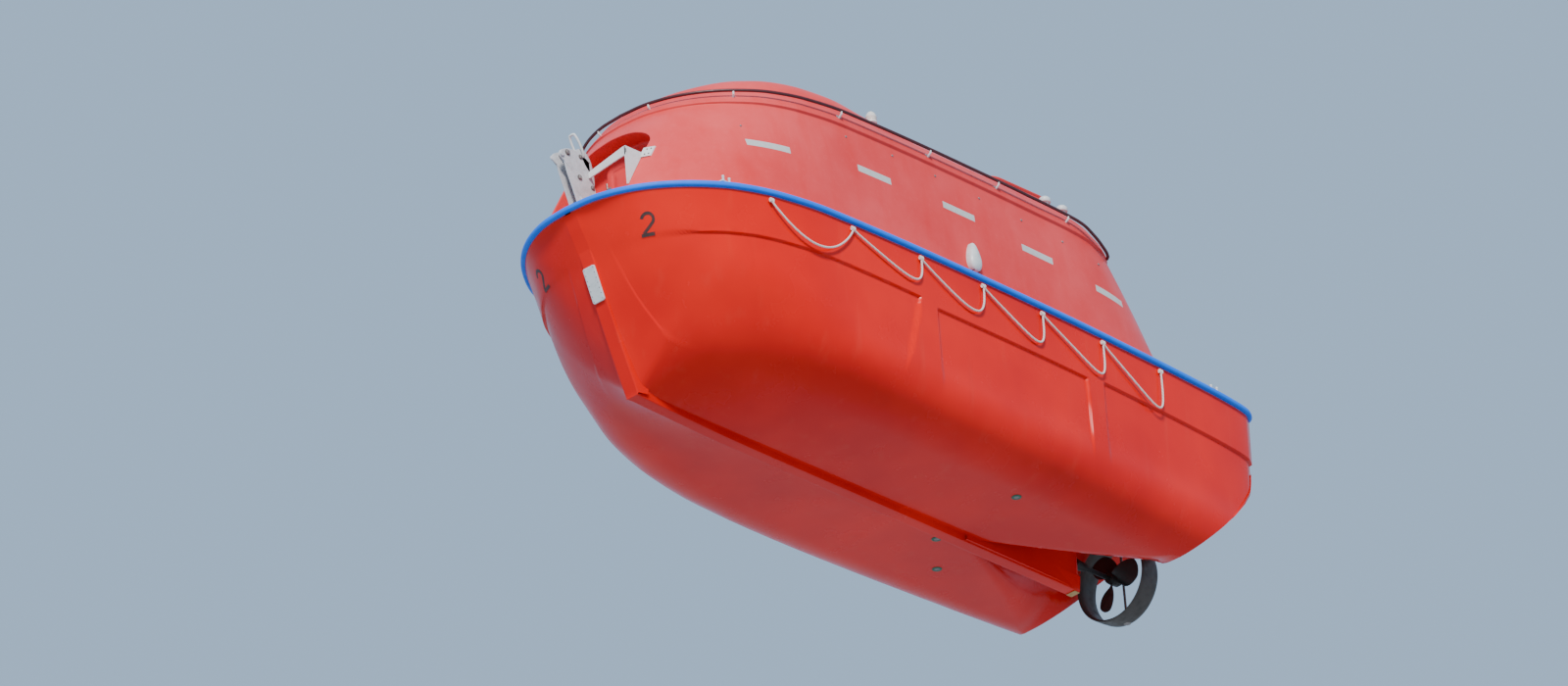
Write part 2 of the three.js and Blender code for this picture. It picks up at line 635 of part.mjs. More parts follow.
// A hatch is a plate with the hinge's barrel and leaf on one side and an angled lever on the other
function foreHatch() {
  const { z, half, tall, frame } = FORE_HATCH;
  const y = RECESS.back - frame - GAP;
  const hingeX = -half - 22;
  const leverX = 140;
  return join([
    slab(moved(roundRect(half + 12, tall + 12, 66), 0, z), "y", y - 24, y),
    rod([hingeX, y - 14, z - 160], [hingeX, y - 14, z + 160], 10, 14),
    box(hingeX, 20 - half, y - 22, y - 8, z - 120, z + 120),
    rod([leverX, y - 22, z], [leverX, y - 60, z], 9, 12),
    rod([leverX, y - 58, z + 6], [leverX, y - 58, z - 95], 9, 12),
  ]);
}

function aftHatch() {
  const { half, tall, frame } = AFT_HATCH;
  const hingeZ = tall + 30;
  const leverZ = -150;
  const flat = join([
    slab(roundRect(half + 14, tall + 14, 76), "y", frame + GAP, 50),
    rod([-190, 40, hingeZ], [190, 40, hingeZ], 11, 14),
    box(-160, 160, 32, 47, tall - 30, hingeZ),
    rod([150, 48, leverZ], [150, 90, leverZ], 9, 12),
    rod([160, 88, leverZ], [40, 88, leverZ], 9, 12),
  ]);
  return onAftFace(flat);
}

function nozzle() {
  const { y, z, outer, wall, half } = NOZZLE;
  const pts = [
    [outer - 6, -half], [outer, -half + 8], [outer - 8, half - 4], [outer - 14, half],
    [outer - wall - 6, half], [outer - wall - 12, 0], [outer - wall, -half],
  ].map(([r, h]) => new THREE.Vector2(r, h));
  pts.push(pts[0].clone());
  const lathe = new THREE.LatheGeometry(pts, 56);
  lathe.translate(0, y, z);
  let ring = solidOf(lathe);
  if (ring.volume() < 0) {
    const g = lathe.toNonIndexed();
    flip(g);
    ring = solidOf(g);
  }
  const inner = outer - wall;
  return join([
    ring,
    rod([0, NOZZLE.stockY, z + inner - 6], [0, NOZZLE.stockY, z + outer + 230], NOZZLE.stockR, 18),
    rod([0, NOZZLE.stockY, z - inner - 2], [0, NOZZLE.stockY, z + inner + 2], 11, 14),
    box(-60, 60, y - 12, y + 92, z + outer - 14, z + outer + 16),
  ]);
}

function bladeSolid(angle) {
  const rings = [];
  for (let i = 0; i <= 8; i++) {
    const t = i / 8;
    const r = PROP.hub * 0.7 + (PROP.r - PROP.hub * 0.7) * t;
    const chord = 95 * Math.sin(Math.PI * Math.min(0.98, 0.2 + 0.66 * t) ** 1.1) ** 0.7 + 8;
    const pitch = Math.atan2(300, 2 * Math.PI * r);
    const thick = 9 - 5 * t;
    const ring = [];
    for (let j = 0; j < 12; j++) {
      const a = (2 * Math.PI * j) / 12;
      const u = chord * Math.cos(a);
      const v = thick * Math.sin(a);
      const along = u * Math.sin(pitch) + v * Math.cos(pitch);
      const across = u * Math.cos(pitch) - v * Math.sin(pitch);
      ring.push([across, along, r]);
    }
    rings.push(ring);
  }
  const g = geometryOf(loft(rings));
  g.rotateY(angle);
  g.translate(0, PROP.y, PROP.shaftZ);
  return solidOf(g);
}

function propeller() {
  const z = PROP.shaftZ;
  const parts = [
    rod([0, PROP.y - 60, z], [0, PROP.y + 55, z], PROP.hub, 24, 40),
    rod([0, PROP.y + 54, z], [0, PROP.y + 90, z], 36, 20, 14),
    rod([0, 1120, z], [0, PROP.y - 50, z], 20, 20),
  ];
  for (let i = 0; i < 3; i++) parts.push(bladeSolid(Math.PI / 2 + (2 * Math.PI * i) / 3));
  return join(parts);
}

// The bearing tube behind the skeg that the propeller's shaft runs through
const TUBE = { fore: 2201, aft: 2330, r: 46, tip: 34, bore: 24 };
function sternTube() {
  const z = PROP.shaftZ;
  const { fore, aft, r, tip, bore } = TUBE;
  return cut(rod([0, fore, z], [0, aft, z], r, 24, tip), [rod([0, fore - 100, z], [0, aft + 70, z], bore, 20)]);
}

// The engine stands inside the hull, ahead of the shaft
const ENGINE = { half: 260, fore: 120, aft: 940, low: -540, high: 40 };
function engine() {
  return box(-ENGINE.half, ENGINE.half, ENGINE.fore, ENGINE.aft, ENGINE.low, ENGINE.high);
}

// The rail's aft end bends down and in to the canopy; its feet stand on the bead
const RAIL_END = [[1100, 1430, 1885], [1060, 1620, 1838], [1010, 1790, 1780], [960, 1815, 1765]];
const RAIL_FEET = [-2680, -2320, -1430, -400, 405, 1280];

function rail() {
  const level = canopyRing(ROOF_EDGE_Z, -RAIL_OUT, RAIL_Z);
  const port = level.filter(([x, y]) => x > 0 && y < 1300).sort((p, q) => p[1] - q[1]);
  const half = [...port, ...RAIL_END];
  const line = [
    ...half.slice().reverse().map(([x, y, z]) => [-x, y, z]), [0, level[0][1], RAIL_Z], ...half,
  ];
  const path = new THREE.CatmullRomCurve3(line.map((p) => new THREE.Vector3(...p)), false, "centripetal");
  const tube = solidOf(
    new THREE.ExtrudeGeometry(circle(RAIL_R, 8), { steps: 82, bevelEnabled: false, extrudePath: path }),
  );
  const feet = RAIL_FEET.flatMap((y) => {
    const k = half.findIndex((p) => p[1] > y);
    const [a, b] = [half[k - 1], half[k]].map((p) => new THREE.Vector3(...p));
    const at = a.clone().lerp(b, (y - a.y) / (b.y - a.y));
    const foot = new THREE.Vector3(a.y - b.y, b.x - a.x, 0).setLength(72).add(at);
    return [-1, 1].map((s) => rod([s * at.x, y, at.z], [s * foot.x, foot.y, at.z - 62], 10, 10));
  });
  return join([tube, ...feet]).subtract(canopySeat(HAIR));
}

// Ventilator hood: a pear-shaped blister on the side, wider at its lower lip
const HOOD = { y: -70, z: 1045, half: 62, swell: 26, tall: 132, in: 1080, out: 1262, corners: 20 };
function hood() {
  const outline = Array.from({ length: HOOD.corners }, (_, i) => {
    const a = (2 * Math.PI * i) / HOOD.corners;
    const w = HOOD.half - HOOD.swell * Math.sin(a);
    return [HOOD.y + w * Math.cos(a), HOOD.z + HOOD.tall * Math.sin(a)];
  });
  return slab(outline, "x", HOOD.in, HOOD.out).subtract(canopySeat(HAIR));
}

// The canopy's outer shape a hair wider or higher, to cut the pieces that stand on it
function canopySeat(grow, lift = 0) {
  const g = geometryOf(canopyBlock(0, GUNWALE_Z + 2));
  g.scale(grow, 1, 1);
  g.translate(0, 0, lift);
  return solidOf(g);
}

function mirrored(solid) {
  const g = geometryOf(solid);
  g.scale(-1, 1, 1);
  const flat = g.toNonIndexed();
  flip(flat);
  return solidOf(flat);
}

// A release hook, drawn as [u, z] with u running from the post's middle towards amidships
const HOOK_PLATE = [
  [-95, 868], [165, 868], [158, 930], [112, 1080], [98, 1145], [64, 1230], [12, 1285], [-12, 1335], [-42, 1364],
  [-110, 1376], [-180, 1362], [-262, 1318], [-266, 1268], [-212, 1240], [-190, 1150], [-146, 1040], [-105, 930],
];
const HOOK_JAW = [
  [0, 1090], [75, 1062], [126, 1090], [145, 1160], [141, 1250], [122, 1340], [90, 1405], [40, 1438], [-15, 1432],
  [-57, 1390], [-65, 1310], [-37, 1200],
];
const JAW_EYE = [
  [35, 1150], [10, 1240], [-8, 1300], [-7, 1372], [30, 1390], [65, 1368], [93, 1310], [106, 1240], [106, 1170],
  [75, 1134],
];
const HOOK_PINS = { u: [-32, -57, -175, 80, 10], z: [1334, 1145, 1325, 1098, 960], r: [12, 16, 18, 12, 16] };
const PLATE_IN = 34; // from the centreline to the side plates' inner faces
const PLATE_OUT = 46;
const JAW_HALF = 17;

const hookSide = (hook, points) => points.map(([u, z]) => [hook.y + hook.aft * u, z]);

function hookPin(hook, i, grow, reach) {
  const y = hook.y + hook.aft * HOOK_PINS.u[i];
  return rod([-reach, y, HOOK_PINS.z[i]], [reach, y, HOOK_PINS.z[i]], HOOK_PINS.r[i] + grow, 14);
}

function hookPost(hook) {
  const plate = hookSide(hook, HOOK_PLATE);
  const [y0, y1] = [hook.y - hook.aft * 120, hook.y + hook.aft * 180].sort((a, b) => a - b);
  return join([
    slab(plate, "x", PLATE_IN, PLATE_OUT),
    slab(plate, "x", -PLATE_OUT, -PLATE_IN),
    box(-110, 110, y0, y1, DECK_TOP + GAP, DECK_TOP + 16),
    ...HOOK_PINS.u.map((_, i) => hookPin(hook, i, 0, 60)),
  ]);
}

function hookJaw(hook) {
  const jaw = slab(hookSide(hook, HOOK_JAW), "x", -JAW_HALF, JAW_HALF, [hookSide(hook, JAW_EYE)]);
  return cut(jaw, [0, 3].map((i) => hookPin(hook, i, GAP, 30)));
}

// The suspension link that the fall shackles to: an oblong ring through the jaw, leaning outwards
function link(hook) {
  const { u, z, half, long, r, lean } = LINK;
  const path = new THREE.CatmullRomCurve3(
    Array.from({ length: 20 }, (_, i) => {
      const a = (2 * Math.PI * i) / 20;
      const s = Math.sin(a);
      const straight = Math.sign(s) * Math.min(1, 1.3 * Math.abs(s));
      return new THREE.Vector3(half * Math.cos(a), 0, (long - 26) * straight + 26 * s);
    }),
    true,
  );
  const side = new THREE.Vector3(0, 1, 0);
  const rings = Array.from({ length: 24 }, (_, i) => {
    const p = path.getPointAt(i / 24);
    const up = new THREE.Vector3().crossVectors(path.getTangentAt(i / 24), side).normalize();
    const spot = (c) => p.clone().addScaledVector(side, c.x).addScaledVector(up, c.y).toArray();
    return circle(r, 8).getPoints().slice(0, 8).map(spot);
  });
  const g = geometryOf(loft(rings, true));
  g.rotateX((hook.aft * lean * Math.PI) / 180);
  g.translate(0, hook.y + hook.aft * u, z);
  return solidOf(g);
}

// The stay: a flat bar from the fore hook to the canopy's port cheek, with a tapering gusset and a pad there
const STAY = { y: -3185, thick: 12, in: 440, pad: 520, fore: -3200, aft: -2900, low: 1236, high: 1346, proud: 14 };
const STAY_BAR = [[PLATE_OUT + GAP, 1167], [400, 1204], [452, 1204], [452, 1286], [425, 1286], [PLATE_OUT + GAP, 1222]];
const GUSSET = [[STAY.y, 940], [STAY.aft, 1300], [STAY.aft, 1345], [STAY.y, 1286]];

function stay() {
  const face = geometryOf(canopyBlock(0, GUNWALE_Z + 2));
  face.translate(0, -GAP, 0);
  const proud = geometryOf(canopyBlock(0, GUNWALE_Z + 2));
  proud.translate(0, -STAY.proud, 0);
  const pad = box(STAY.in, STAY.pad, STAY.fore, STAY.aft, STAY.low, STAY.high).intersect(solidOf(proud));
  return join([
    slab(STAY_BAR, "y", STAY.y, STAY.y + STAY.thick),
    slab(GUSSET, "x", STAY.in, STAY.in + STAY.thick),
    pad,
  ]).subtract(solidOf(face));
}

// The plate on the stem: its middle's height, half-sizes and the corner's radius
const STEM_PLATE = { z: 270, half: 60, tall: 145, round: 16 };
function stemPlate(hullSolid) {
  const { z, half, tall, round } = STEM_PLATE;
  const g = geometryOf(slab(roundRect(half, tall, round), "y", -16, 14));
  g.rotateX(Math.atan2(stemY(z - tall) - stemY(z + tall), 2 * tall));
  g.translate(0, stemY(z), z);
  const face = geometryOf(hullSolid);
  face.translate(0, -GAP, 0);
  return solidOf(g).subtract(solidOf(face));
}

// A fairlead: a foot on the deck's edge with two posts
const FAIRLEAD = { stands: { fore: -2700, aft: 2850 }, in: 26, half: 24, long: 70, plate: 12, post: 34, r: 12, tall: 66 };
function fairlead(y) {
  const { half, long, plate, post, r, tall } = FAIRLEAD;
  const x = gunwale(y) - FAIRLEAD.in;
  const posts = [y - post, y + post].map((at) => rod([x, at, DECK_TOP + plate - 2], [x, at, DECK_TOP + tall], r, 12));
  return join([box(x - half, x + half, y - long, y + long, DECK_TOP + GAP, DECK_TOP + plate), ...posts]);
}

function grabLine() {
  const pts = [];
  BIGHTS.drop.forEach((drop, i) => {
    for (let j = 0; j < LINE.points; j++) {
      const t = j / LINE.points;
      const y = LUGS[i] + (LUGS[i + 1] - LUGS[i]) * (1 - (1 - t) ** BIGHTS.late[i]);
      pts.push(new THREE.Vector3(gunwale(y) + LINE.out, y, LINE.z - drop * Math.sin(Math.PI * t) ** 0.85));
    }
  });
  const y = LUGS[LUGS.length - 1];
  pts.push(new THREE.Vector3(gunwale(y) + LINE.out, y, LINE.z));
  const path = new THREE.CatmullRomCurve3(pts, false, "centripetal");
  return solidOf(
    new THREE.ExtrudeGeometry(circle(LINE.r, 6), { steps: 80, bevelEnabled: false, extrudePath: path }),
  );
}

// A turned fitting that stands on the roof
function roofFitting({ x, y, z, r, h }) {
  const profile = [new THREE.Vector2(0, h[0]), ...r.map((radius, i) => new THREE.Vector2(radius, h[i]))];
  const g = new THREE.LatheGeometry(profile, 20);
  g.rotateX(Math.PI / 2);
  g.translate(x, y, z);
  return solidOf(g).subtract(canopySeat(1, 1));
}

const group = new THREE.Group();
group.name = "enclosed_lifeboat";

function put(name, solid, material) {
  const mesh = new THREE.Mesh(geometryOf(solidOf(welded(geometryOf(solid)))), MATERIALS[material].clone());
  mesh.name = name;
  group.add(mesh);
}

const hullSolid = hull();
put("hull", hullSolid, "hull_red");
put("canopy", canopy(), "canopy_red");
put("gunwale_fender", fender(), "fender_blue");
put("cupola", cupola(), "canopy_red");
put("cupola_glazing", glazing(), "glass");
put("cupola_hatch", cupolaLid(), "canopy_red");
put("fore_hatch", foreHatch(), "canopy_red");
put("aft_hatch", aftHatch(), "canopy_red");
put("nozzle", nozzle(), "nozzle_brown");
put("propeller", propeller(), "bronze_dark");
put("stern_tube", sternTube(), "bronze_dark");
put("engine", engine(), "engine_grey");
put("roof_rail", rail(), "rail_maroon");
put("vent_hood_port", hood(), "plate_white");
put("vent_hood_starboard", mirrored(hood()), "plate_white");
for (const [name, fitting] of Object.entries(FITTINGS)) put(name, roofFitting(fitting), "plate_white");
put("stem_plate", stemPlate(hullSolid), "plate_white");
put("fore_hook_post", hookPost(FORE_HOOK), "steel_grey");
put("fore_hook_jaw", hookJaw(FORE_HOOK), "steel_grey");
put("fore_link", link(FORE_HOOK), "steel_grey");
put("hook_stay", stay(), "bracket_white");
put("aft_hook_post", hookPost(AFT_HOOK), "steel_grey");
put("aft_hook_jaw", hookJaw(AFT_HOOK), "steel_grey");
put("aft_link", link(AFT_HOOK), "steel_grey");
for (const [end, y] of Object.entries(FAIRLEAD.stands)) {
  put(`fairlead_${end}_port`, fairlead(y), "steel_grey");
  put(`fairlead_${end}_starboard`, mirrored(fairlead(y)), "steel_grey");
}
put("grab_line_port", grabLine(), "rope_white");
put("grab_line_starboard", mirrored(grabLine()), "rope_white");

export default group;
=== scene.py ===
# %% [markdown]
# # An enclosed lifeboat, dressed around its packed frame
# The boat is a moulded hull and a moulded canopy that meet under a blue fender. The frame gives every piece
# its place, and this script gives each surface its fine shape and its finish. All lengths are in metres:
# +X is port, +Y is aft, +Z is up, and the origin is amidships on the laden waterline.

# %% The frame
import math

import bmesh
import bpy
import numpy as np
from mathutils import Matrix


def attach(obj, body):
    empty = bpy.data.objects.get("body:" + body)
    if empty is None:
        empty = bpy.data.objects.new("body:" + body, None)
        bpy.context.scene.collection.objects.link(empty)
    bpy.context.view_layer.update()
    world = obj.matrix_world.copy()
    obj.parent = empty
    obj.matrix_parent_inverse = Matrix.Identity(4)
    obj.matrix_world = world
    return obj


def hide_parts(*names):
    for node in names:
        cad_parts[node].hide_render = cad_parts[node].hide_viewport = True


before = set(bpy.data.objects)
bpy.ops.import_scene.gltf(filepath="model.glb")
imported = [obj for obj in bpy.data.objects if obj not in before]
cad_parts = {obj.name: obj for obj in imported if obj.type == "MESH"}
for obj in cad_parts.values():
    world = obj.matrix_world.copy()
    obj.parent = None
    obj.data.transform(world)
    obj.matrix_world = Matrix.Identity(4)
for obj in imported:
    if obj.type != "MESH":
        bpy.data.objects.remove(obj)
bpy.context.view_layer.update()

# %% [markdown]
# ## Camera
# The boat hangs high above the viewer, so the camera stands just above the floor and looks up at it with a
# long lens. Its axes are worked out from three angles: the bearing off the bow, the rise, and the roll.

# %% The camera
BEARING = math.radians(41.5)
RISE = math.radians(28.0)
ROLL = math.radians(4.83)
DISTANCE = 96.91
LENS = 290.0
STEM_HEAD = np.array([0.0, -3.4, 0.8])
STEM_HEAD_AT = (579.3, 218.8)  # its pixel in a picture of 1600 by 700
PICTURE = (1600, 700)
PIXELS_PER_METRE = 133.0


def camera_axes():
    """Right, up and forward: forward is turned by the bearing, lifted by the rise, and all roll about it."""
    flat = np.array([-math.sin(BEARING), math.cos(BEARING), 0.0])
    forward = math.cos(RISE) * flat + math.sin(RISE) * np.array([0.0, 0.0, 1.0])
    level = np.cross(forward, [0.0, 0.0, 1.0])
    level /= np.linalg.norm(level)
    upright = np.cross(level, forward)
    right = math.cos(ROLL) * level - math.sin(ROLL) * upright
    up = math.sin(ROLL) * level + math.cos(ROLL) * upright
    return right, up, forward


def placed(x_axis, y_axis, z_axis, at):
    """The matrix that gives an object its three axes and its place."""
    columns = [np.append(x_axis, 0), np.append(y_axis, 0), np.append(z_axis, 0), np.append(at, 1)]
    return Matrix(np.column_stack(columns).tolist())


RIGHT, UP, FORWARD = camera_axes()
side_step = (PICTURE[0] / 2 - STEM_HEAD_AT[0]) / PIXELS_PER_METRE
up_step = (STEM_HEAD_AT[1] - PICTURE[1] / 2) / PIXELS_PER_METRE
AIM = STEM_HEAD + RIGHT * side_step + UP * up_step
EYE = AIM - FORWARD * DISTANCE
camera = bpy.data.objects.new("camera", bpy.data.cameras.new("camera"))
camera.data.lens = LENS
camera.data.sensor_width = 36.0
camera.data.clip_end = 400.0
camera.matrix_world = placed(RIGHT, UP, -FORWARD, EYE)
bpy.context.scene.collection.objects.link(camera)
bpy.context.scene.camera = camera
print("camera at", np.round(EYE, 2), "aimed at", np.round(AIM, 2))

# %% [markdown]
# ## Shapes from arrays
# Every new surface is a grid of points: one direction runs along the piece, the other round it. A grid is
# welded where its points meet, so a pole is a row that has shrunk to one point.

# %% Curves
def curve(xs, ys):
    """A smooth line through a table that never overshoots: cubic pieces whose slopes are the harmonic means
    of the slopes on either side."""
    xs, ys = np.asarray(xs, float), np.asarray(ys, float)
    step = np.diff(xs)
    rise = np.diff(ys) / step
    slope = np.concatenate([rise[:1], np.zeros(len(xs) - 2), rise[-1:]])
    before, after = 2 * step[1:] + step[:-1], step[1:] + 2 * step[:-1]
    same = rise[:-1] * rise[1:] > 0
    safe_a, safe_b = np.where(same, rise[:-1], 1), np.where(same, rise[1:], 1)
    slope[1:-1] = np.where(same, (before + after) / (before / safe_a + after / safe_b), 0)

    def at(x):
        """The line's height at x."""
        x = np.clip(np.asarray(x, float), xs[0], xs[-1])
        i = np.clip(np.searchsorted(xs, x, side="right") - 1, 0, len(xs) - 2)
        h = step[i]
        t = (x - xs[i]) / h
        return (ys[i] * (2 * t**3 - 3 * t**2 + 1) + slope[i] * h * (t**3 - 2 * t**2 + t)
                + ys[i + 1] * (3 * t**2 - 2 * t**3) + slope[i + 1] * h * (t**3 - t**2))

    return at


def smooth(low, high, x):
    """0 below low, 1 above high, and an S between them."""
    t = np.clip((np.asarray(x, float) - low) / (high - low), 0, 1)
    return t * t * (3 - 2 * t)


print("a curve through 0, 1 and 4, half way on:", round(float(curve([0, 1, 2], [0, 1, 4])(1.5)), 3))

# %% Grids and both sides
def grid(points, wrap_u=False, wrap_v=False):
    """Faces between the points of an array of rows (u) and columns (v); wrap joins the last to the first."""
    points = np.asarray(points, float)
    nu, nv = points.shape[:2]
    index = np.arange(nu * nv).reshape(nu, nv)
    if wrap_u:
        index = np.vstack([index, index[:1]])
    if wrap_v:
        index = np.hstack([index, index[:, :1]])
    quads = np.stack([index[:-1, :-1], index[1:, :-1], index[1:, 1:], index[:-1, 1:]], -1).reshape(-1, 4)
    return points.reshape(-1, 3), quads


def joined(shapes):
    """Several grids as one."""
    counts = np.cumsum([0] + [len(p) for p, _ in shapes])
    return (np.vstack([p for p, _ in shapes]),
            np.vstack([q + n for (_, q), n in zip(shapes, counts)]))


def mirrored(shape):
    """The same shape on the starboard side, its faces turned back to point outwards."""
    points, quads = shape
    return points * [-1, 1, 1], quads[:, ::-1]


def both_sides(rows):
    """The grid of a port half, and its mirror image."""
    return [grid(rows), mirrored(grid(rows))]


SIDES = ((1, "port"), (-1, "starboard"))
print("a bare grid of 3 by 4 points:", len(grid(np.zeros((3, 4, 3)))[1]), "faces")

# %% Even steps and worn corners
def walked(points, count, closed=True):
    """A line walked in even steps: its points are read off again at equal lengths along it."""
    points = np.vstack([points, points[:1]]) if closed else points
    s = np.concatenate([[0], np.cumsum(np.linalg.norm(np.diff(points, axis=0), axis=1))])
    even = np.linspace(0, s[-1], count, endpoint=not closed)
    return np.column_stack([np.interp(even, s, column) for column in points.T])


def softened(loop, passes):
    """A closed line with its corners worn round: a pass moves each point halfway to its neighbours' mean."""
    for _ in range(passes):
        loop = 0.5 * loop + 0.25 * (np.roll(loop, 1, 0) + np.roll(loop, -1, 0))
    return loop


def rows_at(at, xs, ys):
    """One value a row: where row i's rising xs reach at[i], its ys are read off along a straight line."""
    i = np.arange(len(xs))
    k = np.clip((xs < at[:, None]).sum(1), 1, xs.shape[1] - 1)
    step = np.maximum(xs[i, k] - xs[i, k - 1], 1e-12)
    return ys[i, k - 1] + np.clip((at - xs[i, k - 1]) / step, 0, 1) * (ys[i, k] - ys[i, k - 1])


print("a two metre line in two steps:", walked(np.array([(0.0, 0.0), (2.0, 0.0)]), 3, False).tolist())

# %% A piece of the boat
def piece(name, shapes, material, body="hull_body", replaces=(), crease=35.0, closed=True,
          weld=2e-5):
    """A named object from grids: welded, faces outwards, smooth but for edges sharper than the crease."""
    points, quads = joined(shapes if isinstance(shapes, list) else [shapes])
    mesh = bpy.data.meshes.new(name)
    mesh.vertices.add(len(points))
    mesh.vertices.foreach_set("co", points.astype(np.float32).ravel())
    mesh.loops.add(quads.size)
    mesh.loops.foreach_set("vertex_index", quads.astype(np.int32).ravel())
    mesh.polygons.add(len(quads))
    mesh.polygons.foreach_set("loop_start", np.arange(0, quads.size, 4, dtype=np.int32))
    mesh.update(calc_edges=True)
    work = bmesh.new()
    work.from_mesh(mesh)
    bmesh.ops.remove_doubles(work, verts=work.verts, dist=weld)
    bmesh.ops.dissolve_degenerate(work, edges=work.edges, dist=1e-6)
    if closed:
        bmesh.ops.recalc_face_normals(work, faces=work.faces)
    work.to_mesh(mesh)
    work.free()
    mesh.shade_smooth()
    mesh.set_sharp_from_angle(angle=math.radians(crease))
    mesh.materials.append(material)
    made = bpy.data.objects.new(name, mesh)
    bpy.context.scene.collection.objects.link(made)
    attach(made, body)
    for node in replaces:
        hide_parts(node)
    print(f"{name}: {len(mesh.polygons)} faces")
    return made

# %% Swept bars
def swept(path, radius, sides=12, closed=False, up=(0.0, 0.0, 1.0), squash=1.0):
    """A round bar along a path: at each point a circle stands square to it, and the ends shrink shut."""
    path = np.asarray(path, float)
    if closed:
        along = np.roll(path, -1, 0) - np.roll(path, 1, 0)
    else:
        along = np.gradient(path, axis=0)
    along /= np.linalg.norm(along, axis=1)[:, None]
    side = np.cross(along, up)
    side /= np.maximum(np.linalg.norm(side, axis=1), 1e-9)[:, None]
    over = np.cross(side, along)
    angle = np.linspace(0, 2 * np.pi, sides, endpoint=False)
    size = np.broadcast_to(np.asarray(radius, float), (len(path),))[:, None, None]
    ring = np.cos(angle)[:, None] * side[:, None, :] + squash * np.sin(angle)[:, None] * over[:, None, :]
    rows = path[:, None, :] + size * ring
    if closed:
        return grid(rows, wrap_u=True, wrap_v=True)
    first, last = rows[:1] * 0 + path[0], rows[:1] * 0 + path[-1]
    return grid(np.concatenate([first, rows, last]), wrap_v=True)


def bar(a, b, radius, sides=16):
    """A straight round bar between two points, with slightly rounded ends."""
    a, b = np.asarray(a, float), np.asarray(b, float)
    length = np.linalg.norm(b - a)
    lip = min(0.12 * radius, 0.2 * length)
    t = np.array([0, lip, length - lip, length])[:, None] / length
    path = a + (b - a) * t
    up = (0, 0, 1) if abs((b - a)[2]) < 0.9 * length else (1, 0, 0)
    return swept(path, radius * np.array([0.86, 1, 1, 0.86]), sides, up=up)


print("a bar of six sides:", len(bar((0, 0, 0), (0, 0, 1), 0.1, 6)[1]), "faces")

# %% Turned shapes and outlines
def turned(profile, origin, axis=(0, 1, 0), sides=48, ring=False):
    """A profile of (radius, height) pairs turned about an axis through the origin."""
    profile = np.asarray(profile, float)
    axis = np.asarray(axis, float) / np.linalg.norm(axis)
    u = np.cross(axis, (0, 0, 1) if abs(axis[2]) < 0.9 else (1, 0, 0))
    u /= np.linalg.norm(u)
    v = np.cross(axis, u)
    angle = np.linspace(0, 2 * np.pi, sides, endpoint=False)[:, None]
    spoke = np.cos(angle) * u + np.sin(angle) * v
    rows = profile[:, 0, None, None] * spoke + profile[:, 1, None, None] * axis + np.asarray(origin, float)
    return grid(rows, wrap_u=ring, wrap_v=True)


def round_rect(half_u, half_v, radius, steps=8):
    """The outline of a rectangle with round corners, as (u, v) pairs, anticlockwise."""
    turn = np.linspace(0, np.pi / 2, steps + 1)
    corners = [(1, 1, 0), (-1, 1, 1), (-1, -1, 2), (1, -1, 3)]
    return np.vstack([
        np.column_stack([su * (half_u - radius) + radius * np.cos(turn + q * np.pi / 2),
                         sv * (half_v - radius) + radius * np.sin(turn + q * np.pi / 2)])
        for su, sv, q in corners])
print("points of a rounded rectangle:", len(round_rect(0.1, 0.1, 0.02)))

# %% Pressed plates
FLAT = ((1, 0, 0), (0, 1, 0))
UPRIGHT = ((1, 0, 0), (0, 0, 1))


def laid(flat, height, origin, u, v):
    """An outline set in space: its pairs go along u and v from the origin, lifted along u cross v."""
    u, v = np.asarray(u, float), np.asarray(v, float)
    return flat[:, :1] * u + flat[:, 1:] * v + np.cross(u, v) * height + np.asarray(origin, float)


def pressed(outline, thickness, edge=0.003, origin=(0, 0, 0), u=UPRIGHT[0], v=UPRIGHT[1]):
    """A plate with a rounded edge: its outline is drawn in by the edge at both faces, and each face closes on
    its middle. The plate grows from the origin along u cross v."""
    outline = np.asarray(outline, float)
    u, v = np.asarray(u, float) / np.linalg.norm(u), np.asarray(v, float) / np.linalg.norm(v)
    ahead = np.roll(outline, -1, 0) - np.roll(outline, 1, 0)
    normal = np.column_stack([ahead[:, 1], -ahead[:, 0]])
    normal /= np.maximum(np.linalg.norm(normal, axis=1), 1e-9)[:, None]
    middle = outline * 0 + outline.mean(0)
    steps = [(edge, 0.0), (0.3 * edge, 0.3 * edge), (0.0, edge), (0.0, thickness - edge),
             (0.3 * edge, thickness - 0.3 * edge), (edge, thickness), (3 * edge, thickness)]
    rows = [laid(outline - normal * inset, height, origin, u, v) for inset, height in steps]
    first, last = laid(middle, 0.0, origin, u, v), laid(middle, thickness, origin, u, v)
    return grid(np.array([first, *rows, last]), wrap_v=True)


print("a pressed plate:", len(pressed(round_rect(0.1, 0.1, 0.02), 0.01)[1]), "faces")

# %% Bolt heads
def heads(places, outward, radius, height, sides=6):
    """Bolt heads at many places at once: a short prism with a chamfer, square to the outward direction."""
    places = np.atleast_2d(places).astype(float)
    outward = np.broadcast_to(np.asarray(outward, float), places.shape)
    outward = outward / np.linalg.norm(outward, axis=1)[:, None]
    u = np.cross(outward, (0.31, 0.17, 0.93))
    u /= np.linalg.norm(u, axis=1)[:, None]
    v = np.cross(outward, u)
    angle = np.linspace(0, 2 * np.pi, sides, endpoint=False)
    rows = []
    for share, lift in [(0, 0), (1, 0), (1, 0.75), (0.82, 1), (0, 1)]:
        spoke = np.cos(angle)[:, None] * u[:, None, :] + np.sin(angle)[:, None] * v[:, None, :]
        rows.append(places[:, None, :] + share * radius * spoke + lift * height * outward[:, None, :])
    return joined([grid(np.stack([r[i] for r in rows]), wrap_v=True) for i in range(len(places))])


print("one bolt head:", len(heads([(0, 0, 0)], (0, 0, 1), 0.01, 0.01)[1]), "faces")

